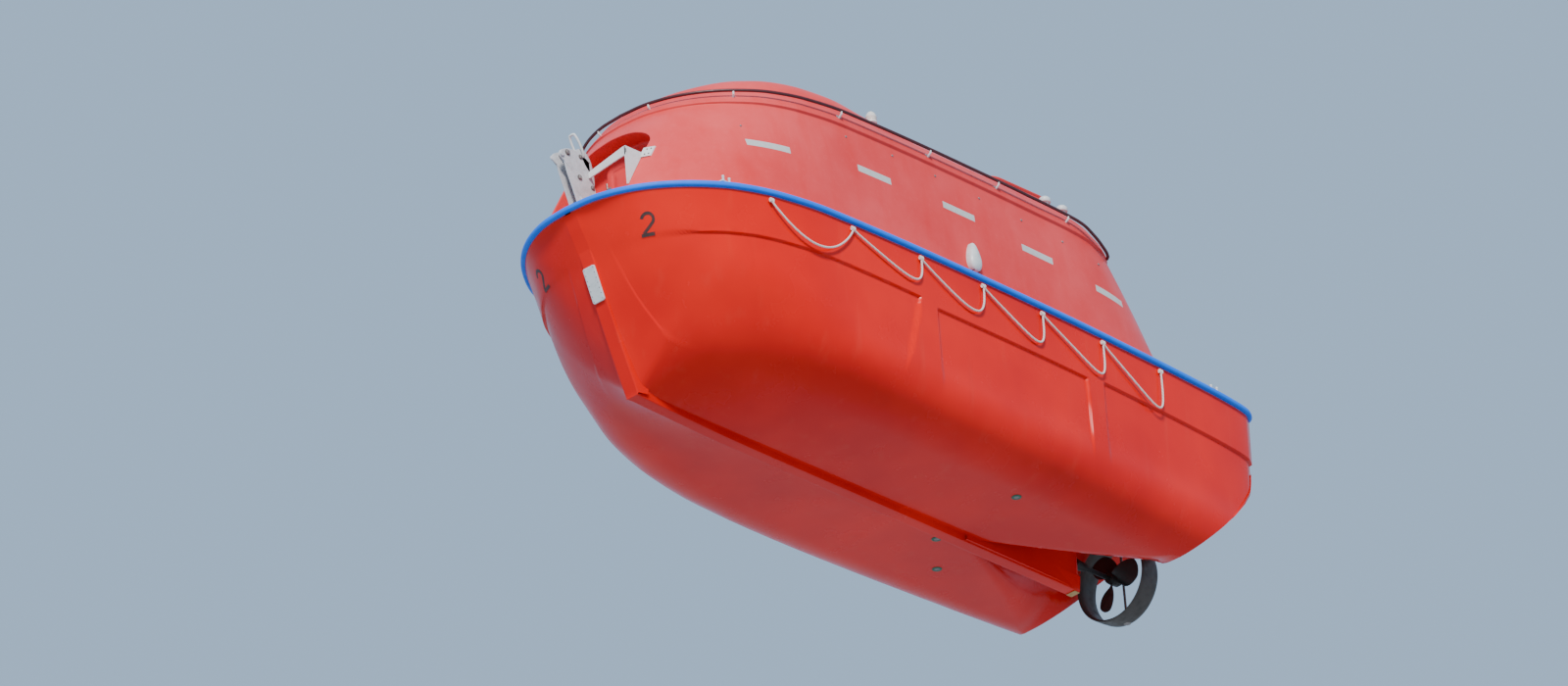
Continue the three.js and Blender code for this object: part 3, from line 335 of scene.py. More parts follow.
# %% [markdown]
# ## Finishes
# A lifeboat is moulded in coloured gelcoat. The hull is new and glossy; the canopy has lain in the sun and
# has gone chalky pink. Each finish is a small tree of noise nodes on object coordinates, so that it stays on
# the surface from any side. Colour varies broadly, roughness in patches, and the bump is only a hint.

# %% The parts of a finish
class Finish:
    """A material under construction: noise, ramps and mixes that end in one principled shader."""

    def __init__(self, name, roughness=0.5, metallic=0.0):
        """Starts from the principled shader alone, and the object's own coordinates."""
        self.made = bpy.data.materials.new(name)
        self.made.use_nodes = True
        self.tree = self.made.node_tree
        self.shader = next(n for n in self.tree.nodes if n.type == "BSDF_PRINCIPLED")
        self.shader.inputs["Roughness"].default_value = roughness
        self.shader.inputs["Metallic"].default_value = metallic
        self.place = self.tree.nodes.new("ShaderNodeTexCoord").outputs["Object"]

    def link(self, a, b):
        """Socket a feeds socket b."""
        self.tree.links.new(a, b)

    def noise(self, scale, detail=4.0, rough=0.55, stretch=(1, 1, 1)):
        """Noise on the object: scale is its grains in a metre, and stretch thins them out along an axis."""
        mapping = self.tree.nodes.new("ShaderNodeMapping")
        mapping.inputs["Scale"].default_value = stretch
        self.link(self.place, mapping.inputs["Vector"])
        node = self.tree.nodes.new("ShaderNodeTexNoise")
        node.inputs["Scale"].default_value = scale
        node.inputs["Detail"].default_value = detail
        node.inputs["Roughness"].default_value = rough
        self.link(mapping.outputs["Vector"], node.inputs["Vector"])
        return node.outputs["Fac"]

    def spread(self, value, low, high, out_low=0.0, out_high=1.0):
        """The value stretched from low..high to out_low..out_high, and held at both ends."""
        node = self.tree.nodes.new("ShaderNodeMapRange")
        node.inputs["From Min"].default_value = low
        node.inputs["From Max"].default_value = high
        node.inputs["To Min"].default_value = out_low
        node.inputs["To Max"].default_value = out_high
        self.link(value, node.inputs["Value"])
        return node.outputs["Result"]

    def blend(self, share, a, b):
        """Colour a where share is 0 and b where it is 1; each is a colour or another blend's output."""
        node = self.tree.nodes.new("ShaderNodeMix")
        node.data_type = "RGBA"
        self.link(share, node.inputs["Factor"])
        for value, socket in ((a, node.inputs[6]), (b, node.inputs[7])):
            if isinstance(value, tuple):
                socket.default_value = (*value, 1.0)
            else:
                self.link(value, socket)
        return node.outputs[2]

    def colour(self, value):
        """The value drives the colour."""
        self.link(value, self.shader.inputs["Base Color"])

    def rough(self, value):
        """The value drives the roughness."""
        self.link(value, self.shader.inputs["Roughness"])

    def bump(self, value, depth, strength=1.0):
        """A bump of that depth in metres, laid over any bump that is there already."""
        node = self.tree.nodes.new("ShaderNodeBump")
        node.inputs["Strength"].default_value = strength
        node.inputs["Distance"].default_value = depth
        self.link(value, node.inputs["Height"])
        before = self.shader.inputs["Normal"].links
        if before:
            self.link(before[0].from_socket, node.inputs["Normal"])
        self.link(node.outputs["Normal"], self.shader.inputs["Normal"])


print("parts of a finish:", [k for k in vars(Finish) if k[0] != "_"])

# %% Gelcoat, new and faded
def gelcoat_glossy():
    """Orange-red gelcoat: broad cloudy colour, fine rain streaks, and a long soft waviness of the mould."""
    f = Finish("gelcoat_glossy", roughness=0.2)
    clouds = f.spread(f.noise(0.9, 3.0), 0.35, 0.68)
    body = f.blend(clouds, (0.68, 0.004, 0.001), (0.84, 0.010, 0.002))
    streaks = f.spread(f.noise(9.0, 4.0, stretch=(1, 1, 0.12)), 0.58, 0.80, 0.0, 0.12)
    body = f.blend(streaks, body, (0.80, 0.12, 0.07))
    grime = f.spread(f.noise(2.2, 6.0, 0.7, stretch=(1, 1, 0.35)), 0.60, 0.86, 0.0, 0.30)
    f.colour(f.blend(grime, body, (0.48, 0.008, 0.004)))
    f.rough(f.spread(f.noise(3.0, 5.0), 0.3, 0.75, 0.13, 0.34))
    f.bump(f.noise(3.4, 1.0), 0.006, 0.35)
    f.bump(f.noise(160.0, 2.0), 0.0003, 0.25)
    f.shader.inputs["Specular IOR Level"].default_value = 0.22
    f.shader.inputs["Coat Weight"].default_value = 0.05
    f.shader.inputs["Coat Roughness"].default_value = 0.08
    return f.made


def gelcoat_faded():
    """Chalky pink-red gelcoat: sun-bleached patches, redder where rain runs down, and a dull, even sheen."""
    f = Finish("gelcoat_faded", roughness=0.45)
    patches = f.spread(f.noise(1.1, 4.0, 0.6), 0.32, 0.68)
    body = f.blend(patches, (0.74, 0.040, 0.040), (0.84, 0.085, 0.085))
    runs = f.spread(f.noise(7.0, 4.0, stretch=(1, 1, 0.10)), 0.50, 0.80, 0.0, 0.40)
    body = f.blend(runs, body, (0.74, 0.022, 0.018))
    chalk = f.spread(f.noise(26.0, 6.0, 0.7), 0.55, 0.85, 0.0, 0.30)
    f.colour(f.blend(chalk, body, (0.86, 0.17, 0.16)))
    f.rough(f.spread(f.noise(2.5, 5.0), 0.3, 0.7, 0.30, 0.52))
    f.bump(f.noise(2.8, 1.0), 0.010, 0.35)
    f.bump(f.noise(220.0, 2.0), 0.0003, 0.3)
    f.shader.inputs["Specular IOR Level"].default_value = 0.22
    f.shader.inputs["Coat Weight"].default_value = 0.04
    f.shader.inputs["Coat Roughness"].default_value = 0.3
    return f.made


HULL_RED = gelcoat_glossy()
CANOPY_RED = gelcoat_faded()
print("gelcoats:", HULL_RED.name, "and", CANOPY_RED.name)

# %% [markdown]
# ## Paint, metal, rubber and rope
# The fittings are small, so one recipe with its own colours does for each kind: a base, a darker stain that
# gathers in patches, and a grain that breaks up the shine.

# %% Fittings' finishes
def worn(name, base, stain, rough=(0.35, 0.6), scale=8.0, stained=0.5, grain=0.0004, metallic=0.0, shine=0.5):
    """Paint or metal: patches of the stain colour over the base, with a fine grain in the bump. Shine is how
    strongly the surface mirrors."""
    f = Finish(name, metallic=metallic)
    f.shader.inputs["Specular IOR Level"].default_value = shine
    patches = f.spread(f.noise(scale, 6.0, 0.65), 0.45, 0.75, 0.0, stained)
    specks = f.spread(f.noise(scale * 9, 4.0, 0.6), 0.60, 0.80, 0.0, stained * 0.8)
    f.colour(f.blend(specks, f.blend(patches, base, stain), stain))
    f.rough(f.spread(f.noise(scale * 2, 5.0), 0.3, 0.7, *rough))
    f.bump(f.noise(scale * 30, 3.0), grain, 0.5)
    return f.made


def rope_white():
    """Laid rope: its strands are slanting bands, a diagonal wave on the object's own coordinates, raised in
    the bump and darkened in their grooves by painted shade.
    """
    f = Finish("rope_white", roughness=0.85)
    wave = f.tree.nodes.new("ShaderNodeTexWave")
    wave.inputs["Scale"].default_value = 22.0
    wave.bands_direction = "DIAGONAL"
    f.link(f.place, wave.inputs["Vector"])
    strand_relief_and_shade = wave.outputs["Fac"]
    dirt = f.spread(f.noise(14.0, 5.0), 0.4, 0.75, 0.0, 0.6)
    # painted shade: the strand wave darkens the rope's colour in the grooves between strands; the dirt laid
    # over it is real
    f.colour(f.blend(dirt, f.blend(strand_relief_and_shade, (0.62, 0.52, 0.47), (0.83, 0.77, 0.73)), (0.66, 0.50, 0.45)))
    f.bump(strand_relief_and_shade, 0.0015, 0.8)
    f.bump(f.noise(900.0, 2.0), 0.0004, 0.5)
    f.shader.inputs["Sheen Weight"].default_value = 0.3
    return f.made


def clear_glass():
    """Dark tinted panes with a little dust: glass that lets some light through and mirrors the sky."""
    f = Finish("pane", roughness=0.06)
    f.colour(f.blend(f.spread(f.noise(5.0, 4.0), 0.4, 0.8, 0.0, 0.4), (0.05, 0.07, 0.08), (0.16, 0.18, 0.19)))
    f.rough(f.spread(f.noise(18.0, 4.0), 0.4, 0.8, 0.04, 0.16))
    f.shader.inputs["Transmission Weight"].default_value = 0.45
    f.shader.inputs["IOR"].default_value = 1.45
    return f.made


FENDER_BLUE = worn("fender_blue", (0.003, 0.190, 0.95), (0.002, 0.095, 0.62), (0.35, 0.55), 5.0, 0.30,
                   shine=0.2)
HOOK_GREY = worn("hook_grey", (0.62, 0.61, 0.63), (0.34, 0.32, 0.33), (0.38, 0.62), 14.0, 0.65)
PAINT_WHITE = worn("paint_white", (0.78, 0.78, 0.77), (0.50, 0.47, 0.43), (0.35, 0.55), 12.0, 0.45)
PLATE_GREY = worn("plate_grey", (0.66, 0.68, 0.69), (0.30, 0.38, 0.33), (0.32, 0.55), 18.0, 0.45)
RAIL_MAROON = worn("rail_maroon", (0.085, 0.012, 0.016), (0.035, 0.008, 0.010), (0.3, 0.5), 12.0, 0.6)
NOZZLE_BROWN = worn("nozzle_brown", (0.060, 0.048, 0.040), (0.020, 0.017, 0.015), (0.4, 0.65), 9.0, 0.7)
BRONZE_DARK = worn("bronze_dark", (0.030, 0.026, 0.024), (0.012, 0.011, 0.010), (0.35, 0.55), 16.0, 0.6,
                   metallic=0.3)
STEEL_BARE = worn("steel_bare", (0.30, 0.27, 0.26), (0.12, 0.07, 0.055), (0.35, 0.6), 24.0, 0.6, metallic=0.6)
TAPE_SILVER = worn("tape_silver", (0.56, 0.58, 0.56), (0.40, 0.40, 0.38), (0.28, 0.42), 30.0, 0.4, 0.0006)
RUBBER_BLACK = worn("rubber_black", (0.022, 0.022, 0.023), (0.05, 0.045, 0.042), (0.5, 0.75), 12.0, 0.5)
FITTING_GREEN = worn("fitting_green", (0.015, 0.13, 0.075), (0.008, 0.05, 0.035), (0.4, 0.6), 30.0, 0.5)
STENCIL_BLACK = worn("stencil_black", (0.035, 0.022, 0.02), (0.24, 0.025, 0.012), (0.4, 0.6), 22.0, 0.75)
PAD_TAN = worn("pad_tan", (0.50, 0.30, 0.10), (0.22, 0.12, 0.05), (0.4, 0.6), 26.0, 0.6)
LENS_PALE = worn("lens_pale", (0.74, 0.73, 0.68), (0.60, 0.55, 0.45), (0.12, 0.3), 16.0, 0.4)
ENGINE_GREY = worn("engine_grey", (0.28, 0.30, 0.31), (0.10, 0.10, 0.10), (0.35, 0.6), 10.0, 0.5)
ROPE_WHITE = rope_white()
PANE = clear_glass()
print("finishes so far:", len(bpy.data.materials))

# %% [markdown]
# ## The grab line
# A rope hangs in bights from lugs under the fender, for people in the water to hold. The lugs hold it all the
# way, so it has no free end. Each bight is a slack curve: it leaves its lug almost straight down on the aft
# side and comes up again to the next lug, so the photographed loops lean.

# %% The gunwale and the grab line's places
BOW_Y, STERN_Y, GUNWALE_Z, HALF_BEAM = -3.400, 3.360, 0.800, 1.255
DECK_TOP, TRANSOM_CROWN = 0.860, 0.0115
gunwale = curve([-3.400, -3.385, -3.345, -3.260, -3.120, -2.920, -2.640, -2.280, -1.800, -1.000, 0, 0.900,
                 1.700, 2.500, 3.000, 3.250, 3.360],
                [0, 0.200, 0.360, 0.545, 0.735, 0.915, 1.082, 1.190, 1.245, 1.255, 1.242, 1.216,
                 1.178, 1.130, 1.086, 1.044, 0.982])
LUG_Y = [-2.375, -1.550, -0.785, -0.065, 0.635, 1.370, 2.090]
LUG_Z, LINE_OUT, LINE_R = 0.756, 0.020, 0.008
BIGHT_DROP = [0.270, 0.210, 0.250, 0.270, 0.290, 0.340]
BIGHT_LATE = [1.1, 2.7, 2.4, 3.0, 3.3, 3.3]
print("lugs a side:", len(LUG_Y), "from", LUG_Y[0], "to", LUG_Y[-1], "m")

# %% The grab line
def bight(k, side, count=49):
    """One bight between two lugs: a sine's sag, whose low is drawn aft by a power of the way left to go."""
    t = np.linspace(0, 1, count)[:-1]
    y = LUG_Y[k] + (LUG_Y[k + 1] - LUG_Y[k]) * (1 - (1 - t) ** BIGHT_LATE[k])
    sag = BIGHT_DROP[k] * np.sin(np.pi * t) ** 0.85
    return np.column_stack([side * (gunwale(y) + LINE_OUT), y, LUG_Z - sag])


def line_route(side):
    """The rope's middle line along one side: its bights end to end, from the first lug to the last."""
    end = [side * (float(gunwale(LUG_Y[-1])) + LINE_OUT), LUG_Y[-1], LUG_Z]
    return np.vstack([bight(k, side) for k in range(len(LUG_Y) - 1)] + [end])


def lugs(side):
    """The lugs: small blocks under the fender, set into the hull's side."""
    block = round_rect(0.014, 0.018, 0.004)
    return [pressed(block, 0.028, 0.002, (side * (float(gunwale(y)) - 0.008), y, 0.771), (0, side, 0))
            for y in LUG_Y]


def turns(side):
    """The rope made fast at each lug: three rings of thinner rope side by side."""
    a = np.linspace(0, 2 * np.pi, 20, endpoint=False)
    made = []
    for y in LUG_Y:
        x = side * (float(gunwale(y)) + LINE_OUT - 0.001 + 0.008 * np.cos(a))
        for along in (-0.014, 0.0, 0.014):
            ring = np.column_stack([x, np.full_like(a, y + along), 0.762 + 0.014 * np.sin(a)])
            made.append(swept(ring, 0.0062, 8, closed=True, up=(0, 1, 0)))
    return made


for side, name in SIDES:
    route = line_route(side)
    rope = [swept(route, LINE_R, sides=10, up=(side, 0, 0))] + turns(side)
    piece(f"rope_{name}", rope, ROPE_WHITE, replaces=[f"grab_line_{name}"])
    piece(f"lugs_{name}", lugs(side), HULL_RED)
print("grab line on each side:", round(float(np.linalg.norm(np.diff(route, axis=0), axis=1).sum()), 2), "m")

# %% [markdown]
# ## The hull
# The hull is one moulding: a blunt bow, flared topsides that round into a nearly flat bottom, a flat raked
# counter and an upright transom, with a tunnel for the propeller. It could be cut from solids, but a moulding
# has no seams, so its section is written as three legs that share their ends: the side down to a corner, the
# bottom or counter in to the tunnel, and the tunnel's arch up to the middle. Each leg has its own columns, so
# the corner and the tunnel's edge run along grid lines and stay crisp.

# %% The hull's tables
SECTION_Y = [-3.400, -3.200, -3.050, -2.900, -2.760, -2.500, -2.200, -1.900, -1.500, -1.000, 0, 1.200, 2.400,
             3.360]
RABBET = curve(SECTION_Y, [0.800, 0.420, 0.020, -0.320, -0.540, -0.575, -0.590, -0.600, -0.608, -0.616,
                           -0.628, -0.640, -0.650, -0.655])
CHINE_X = curve(SECTION_Y, [0, 0.72, 0.74, 0.78, 0.82, 0.89, 0.93, 0.955, 0.975, 0.985, 0.985, 0.98, 0.965,
                            0.95])
CHINE_Z = curve(SECTION_Y, [0.800, 0.560, 0.380, 0.240, 0.130, -0.060, -0.250, -0.390, -0.500, -0.560,
                            -0.596, -0.610, -0.622, -0.630])
SIDE_SHARE = curve(SECTION_Y, [0.6, 0.6, 0.58, 0.55, 0.52, 0.48, 0.44, 0.4, 0.36, 0.33, 0.31, 0.31, 0.31,
                               0.31])
FLOOR_SHARE = curve(SECTION_Y, [0.6, 0.6, 0.6, 0.58, 0.56, 0.52, 0.5, 0.46, 0.42, 0.38, 0.36, 0.36, 0.34,
                                0.34])
TUNNEL_Y = [0.950, 1.250, 1.600, 1.950, 2.250, 2.470, 3.500]
TUNNEL_FLARE = curve(TUNNEL_Y, [0.060, 0.185, 0.345, 0.520, 0.700, 0.840, 0.900])
TUNNEL_RADIUS = curve(TUNNEL_Y, [0.040, 0.120, 0.230, 0.340, 0.410, 0.432, 0.440])
TUNNEL_CENTRE = curve(TUNNEL_Y, [-0.660, -0.600, -0.540, -0.480, -0.440, -0.425, -0.420])
STERN_PROFILE = [(2.440, -0.900), (2.470, -0.655), (2.980, -0.190), (3.160, -0.010), (3.270, 0.120),
                 (3.335, 0.230), (3.360, 0.330)]
KEEL_HALF = 0.052


def counter_height(y):
    """The height under which the stern is cut away: the raked counter, rising to the foot of the transom."""
    ys, zs = zip(*STERN_PROFILE)
    return np.interp(y, ys, zs, left=-2.0)


print("bottom amidships at", round(float(RABBET(0)), 3), "m, counter at the stern at",
      float(counter_height(STERN_Y)), "m")

# %% The hull's sections
SIDE_END, BEND_END = 0.25, 0.80  # shares of a section's columns


def section(y, count=161):
    """Half sections from the gunwale to the keel, one row a station: a straight side, then a curve that
    rounds off the chine's corner, then a straight floor. The curve is a parabola between the straights."""
    y = np.atleast_1d(np.asarray(y, float))[:, None]
    beam = gunwale(y)
    top = (beam, np.full_like(beam, GUNWALE_Z))
    chine = (beam * CHINE_X(y), CHINE_Z(y))
    keel = (np.minimum(beam, KEEL_HALF) * 0.8, RABBET(y))
    turn_in = [c + (t - c) * SIDE_SHARE(y) for c, t in zip(chine, top)]
    turn_out = [c + (k - c) * FLOOR_SHARE(y) for c, k in zip(chine, keel)]
    t = np.linspace(0, 1, count)[None, :]
    side = np.clip(t / SIDE_END, 0, 1)
    bend = np.clip((t - SIDE_END) / (BEND_END - SIDE_END), 0, 1)
    floor = np.clip((t - BEND_END) / (1 - BEND_END), 0, 1)
    out = []
    for k in range(2):
        straight = top[k] + (turn_in[k] - top[k]) * side
        curved = (1 - bend) ** 2 * turn_in[k] + 2 * bend * (1 - bend) * chine[k] + bend**2 * turn_out[k]
        bottom = turn_out[k] + (keel[k] - turn_out[k]) * floor
        out.append(np.where(t < SIDE_END, straight, np.where(t < BEND_END, curved, bottom)))
    return out[0], out[1]


def hull_x(y, z):
    """Half-breadth of the hull at points (y, z), read off the section of each point's station."""
    y, z = np.broadcast_arrays(np.asarray(y, float), np.asarray(z, float))
    xs, zs = section(y.ravel())
    return rows_at(-z.ravel(), -zs, xs).reshape(y.shape)


print("half-breadth at the waterline amidships:", round(float(hull_x(0, 0)), 3), "m")

# %% The hull's stations and its pressed panels
# Stations crowd together where a panel's upright edge or the counter's foot has to stay crisp
STATION_RUNS = [(-2.5, -1.30, 42), (-1.30, -0.48, 92), (-0.48, 1.08, 50), (1.08, 1.44, 46), (1.44, 2.36, 36),
                (2.36, 2.56, 26), (2.56, 3.16, 32), (3.16, STERN_Y, 20)]
HULL_STATIONS = np.concatenate(
    [BOW_Y + 0.9 * np.linspace(1 / 60, 1, 60) ** 2] + [np.linspace(a, b, n)[1:] for a, b, n in STATION_RUNS])
PANEL_DEPTH = 0.021
# Each panel: fore edge and how softly it starts, aft edge at the top and its lean, and its top's height
PANELS = [
    {"fore": -3.00, "soft": 0.60, "aft": -0.80, "lean": 0.32, "top": 0.43, "rise": -0.02},
    {"fore": -0.60, "soft": 0.05, "aft": 1.16, "lean": -0.02, "top": 0.39, "rise": 0.0},
    {"fore": 1.38, "soft": 0.05, "aft": 3.60, "lean": 0.0, "top": 0.42, "rise": 0.0},
]
PANEL_FOOT = (-0.34, -0.02)
print("stations:", len(HULL_STATIONS))


def panel_depth(y, z):
    """How far the side is pressed in at (y, z): full inside a panel, sharp at its top and its upright edges,
    and nothing by the turn of the bilge. Each edge is an S-shaped step."""
    depth = np.zeros_like(y)
    for p in PANELS:
        bulge = 0.10 * np.clip((p["top"] - z) * (z + 0.25), 0, None)
        aft = p["aft"] + p["lean"] * (z - p["top"]) + bulge
        top = p["top"] + p["rise"] * (y - p["aft"])
        inside = smooth(p["fore"] - p["soft"] / 2, p["fore"] + p["soft"] / 2, y)
        inside = inside * smooth(aft + 0.010, aft - 0.010, y)
        depth += inside * smooth(top + 0.006, top - 0.006, z) * smooth(*PANEL_FOOT, z)
    return PANEL_DEPTH * depth

# %% The tunnel's arch
SPRING = math.radians(14)
FILLET_SHARE = 0.3  # of the arch's columns


def arch(y, count=41):
    """The tunnel's half arch at each station, from its foot on the bottom to its crown: a short fillet, which
    is a parabola, then a circle."""
    foot_x, radius, centre = (f(y)[:, None] for f in (TUNNEL_FLARE, TUNNEL_RADIUS, TUNNEL_CENTRE))
    xs, zs = section(y)
    foot_z = rows_at(-foot_x[:, 0], -xs, zs)[:, None]
    s = np.linspace(0, 1, count)[None, :]
    f = np.clip(s / FILLET_SHARE, 0, 1)
    turn = SPRING + (np.pi / 2 - SPRING) * np.clip((s - FILLET_SHARE) / (1 - FILLET_SHARE), 0, 1)
    spring_x, spring_z = radius * math.cos(SPRING), centre + radius * math.sin(SPRING)
    hip_x = spring_x + 0.2 * (foot_x - spring_x)
    fillet_x = (1 - f) ** 2 * foot_x + 2 * f * (1 - f) * hip_x + f**2 * spring_x
    fillet_z = (1 - f) ** 2 * foot_z + 2 * f * (1 - f) * foot_z + f**2 * spring_z
    x = np.where(s < FILLET_SHARE, fillet_x, radius * np.cos(turn))
    z = np.where(s < FILLET_SHARE, fillet_z, centre + radius * np.sin(turn))
    return x, np.maximum(z, foot_z)


print("tunnel's crown over the propeller:", round(float(arch(np.array([2.4]))[1][0, -1]), 3), "m")

# %% The hull's rows
# Heights where rows of the side crowd together, so that the panels' top edges stay crisp
EDGE_LEVELS = np.concatenate([np.linspace(0.80, 0.475, 8), np.linspace(0.475, 0.365, 26)[1:]])


def side_shares(section_t, section_z, corner_t, at, count):
    """Where the side's rows lie on the section: by height down to the panels' top, then evenly; near the
    stem, where the side is short, they are spread evenly all the way."""
    even = corner_t * np.linspace(0, 1, count) ** 0.9
    crowded = np.interp(-EDGE_LEVELS, -section_z, section_t)
    rest = np.linspace(crowded[-1], corner_t, count - len(crowded) + 1)[1:]
    share = smooth(-3.15, -2.85, at)
    return even + (np.concatenate([crowded, rest]) - even) * share


def hull_half(y, side_count=68, floor_count=22, arch_count=20):
    """Port half of every station: the side, the floor or counter, and the arch, each spread over its own
    columns. A station's corner is where the counter cuts the section, or else a share of the way to the
    tunnel's edge; what lies under the counter is lifted to it."""
    xs, zs = section(y)
    t = np.linspace(0, 1, xs.shape[1])
    arch_x, arch_z = arch(y)
    s = np.linspace(0, 1, arch_x.shape[1])
    cut = counter_height(y)
    rows = []
    relaxed = 0.80 + 0.17 * smooth(1.9, 2.44, y)
    for i in range(len(y)):
        foot_t = np.interp(-arch_x[i, 0], -xs[i], t)
        corner_t = min(np.interp(-cut[i], -zs[i], t), foot_t * relaxed[i])
        foot_s = np.interp(cut[i], arch_z[i], s) if cut[i] > arch_z[i, 0] else 0.0
        side_t = side_shares(t, zs[i], corner_t, y[i], side_count)
        floor_t = corner_t + (foot_t - corner_t) * np.linspace(0, 1, floor_count + 1)[1:]
        arch_s = foot_s + (1 - foot_s) * np.linspace(0, 1, arch_count + 1)[1:]
        corner_x, foot_x = np.interp(corner_t, t, xs[i]), np.interp(foot_s, s, arch_x[i])
        floor_x = np.interp(floor_t, t, xs[i])
        stretch = (floor_x - corner_x) / min(np.interp(foot_t, t, xs[i]) - corner_x, -1e-9)
        floor_x = corner_x + stretch * (foot_x - corner_x)
        floor_z = np.maximum(np.interp(floor_t, t, zs[i]), cut[i])
        crown_z = np.maximum(np.interp(arch_s, s, arch_z[i]), cut[i])
        x = np.concatenate([np.interp(side_t, t, xs[i]), floor_x, np.interp(arch_s, s, arch_x[i])])
        z = np.concatenate([np.interp(side_t, t, zs[i]), floor_z, crown_z])
        rows.append(np.column_stack([x, np.full_like(x, y[i]), z]))
    return np.array(rows), side_count


print("hull's rows and columns a side:", hull_half(HULL_STATIONS)[0].shape[:2])

# %% The hull's skin
def hull_skin():
    """The whole outer skin: the port half pressed in along its normals, its mirror image, the flat transom
    and the flat top that the canopy covers."""
    half, side_count = hull_half(HULL_STATIONS)
    normal = np.cross(np.gradient(half, axis=0), np.gradient(half, axis=1))
    normal /= np.maximum(np.linalg.norm(normal, axis=2), 1e-9)[:, :, None]
    normal *= np.sign(normal[:, :1, :1] + 1e-9)
    depth = panel_depth(half[:, :, 1], half[:, :, 2])
    depth[:, side_count:] = 0
    half = half - normal * depth[:, :, None]
    stem = half[:1] * [0, 0, 0] + np.array([0, BOW_Y, GUNWALE_Z])
    half = np.concatenate([stem, half])
    across = np.linspace(1, 0, 20)[:, None, None]
    transom = half[-1] * (across * [1, 0, 0] + [0, 1, 1])
    top = np.stack([half[:, 0], half[:, 0] * [0, 1, 1]])
    return both_sides(half) + both_sides(transom) + both_sides(top)


piece("hull_shell", hull_skin(), HULL_RED, replaces=["hull"], crease=28)

# %% [markdown]
# ## Keel, stem and skeg
# A flat bar runs down the stem and along the keel, proud of the skin, and a skeg fills the middle of the
# tunnel and carries the shaft. A bar could be cut from boxes, but its arris should catch the light, so each
# is a row of cross-sections with a small round at the edge. The stem meets the keel in one sharp knuckle.

# %% The stem and keel bar
STEM_Y = curve([-0.590, -0.300, 0, 0.300, 0.500, 0.650, 0.760],
               [-2.830, -2.945, -3.058, -3.166, -3.238, -3.300, -3.358])
KEEL_Z = curve([-2.830, -1.700, 0, 1.200, 2.180], [-0.600, -0.650, -0.675, -0.695, -0.712])


def bar_section(face, back, half, back_half, edge=0.007):
    """Half a bar's section at each row: the flat face, a rounded arris, and the flank back into the hull."""
    face, back = np.asarray(face, float)[:, None, :], np.asarray(back, float)[:, None, :]
    half, back_half = np.asarray(half, float)[:, None], np.asarray(back_half, float)[:, None]
    turn = np.linspace(0, np.pi / 2, 5)
    x = np.concatenate([half * [0, 0.4, 0.8], half - edge + edge * np.sin(turn), (half + back_half) / 2,
                        back_half], 1)
    depth = np.linalg.norm((back - face)[:, 0], axis=1)[:, None]
    sink = np.concatenate([depth * [0, 0, 0], edge * (1 - np.cos(turn)) + 0 * depth, depth / 2, depth], 1)
    inward = (back - face) / depth[:, :, None]
    points = face + inward * sink[:, :, None]
    return np.dstack([x, points[:, :, 0], points[:, :, 1]])


def stem_and_keel():
    """Rows down the stem, one at the knuckle, and rows along the keel, where a flat row closes the end."""
    z = np.concatenate([np.linspace(0.745, -0.56, 90), [-0.585]])
    y = np.linspace(-2.79, 2.18, 160)
    face = [*zip(STEM_Y(z), z), (-2.830, -0.600), *zip(y, KEEL_Z(y))]
    back = [*zip(STEM_Y(z) + 0.110, z + 0.012), (-2.710, -0.470), *zip(y, KEEL_Z(y) + 0.130)]
    half = [0.064] * len(z) + [0.060] + [0.052] * len(y)
    back_half = [0.072] * len(z) + [0.074] + [0.070] * len(y)
    rows = bar_section(face, back, half, back_half)
    return both_sides(np.concatenate([rows, rows[-1:] * [0, 1, 1]]))


piece("keel_bar", stem_and_keel(), HULL_RED, crease=30)

# %% The skeg
SKEG_Y = [0.850, 1.400, 1.800, 2.100, 2.200]
SKEG_LOW = curve(SKEG_Y, [0.070, 0.070, 0.064, 0.052, 0.040])
SKEG_HIGH = curve(SKEG_Y, [0.090, 0.100, 0.096, 0.078, 0.060])


def skeg():
    """The skeg's flank: its half-width runs from low to high, its bottom arris is round, and its end is a
    nose, both by a quarter circle's square root."""
    y = np.concatenate([np.linspace(0.85, 2.17, 60), 2.17 + 0.03 * np.sin(np.linspace(0.2, np.pi / 2, 8))])
    nose = np.sqrt(np.clip(1 - np.clip((y - 2.17) / 0.031, 0, 1) ** 2, 0.0, 1))
    low = KEEL_Z(np.minimum(y, 2.18))[:, None]
    z = low + (0.01 - low) * np.linspace(0, 1, 40)
    growth = np.clip((z - low) / (-0.2 - low), 0, 1)
    half = SKEG_LOW(y)[:, None] + (SKEG_HIGH(y) - SKEG_LOW(y))[:, None] * growth
    arris = np.sqrt(np.clip(1 - (1 - np.clip((z - low) / 0.012, 0, 1)) ** 2, 0, 1))
    x = half * arris * np.clip(nose, 0.02, 1)[:, None]
    rows = np.dstack([x, np.broadcast_to(y[:, None], x.shape), z])
    return both_sides(np.concatenate([rows, rows[-1:] * [0, 1, 1]]))


piece("skeg", skeg(), HULL_RED, crease=40)
heel_at = (0, 2.155, float(KEEL_Z(2.155)) - 0.001)
heel = pressed(round_rect(0.046, 0.030, 0.006), 0.006, 0.002, heel_at, (1, 0, 0), (0, -1, 0))
piece("heel_pad", heel, PAD_TAN)

# %% [markdown]
# ## The fender
# A blue rubber fender wraps the joint of hull and canopy. It is a D-shaped profile carried round the plan of
# the gunwale, whose corner at the transom is softened as the rubber would be.

# %% The fender
GAP, FENDER_Z = 0.0005, 0.835
FENDER_PROFILE = [(0.000, -0.0240), (0.012, -0.0238), (0.022, -0.0222), (0.0288, -0.0180), (0.0325, -0.0120),
                  (0.0338, -0.0060), (0.0340, 0.0), (0.0338, 0.0060), (0.0325, 0.0120), (0.0288, 0.0180),
                  (0.022, 0.0222), (0.012, 0.0238), (0.000, 0.0240)]


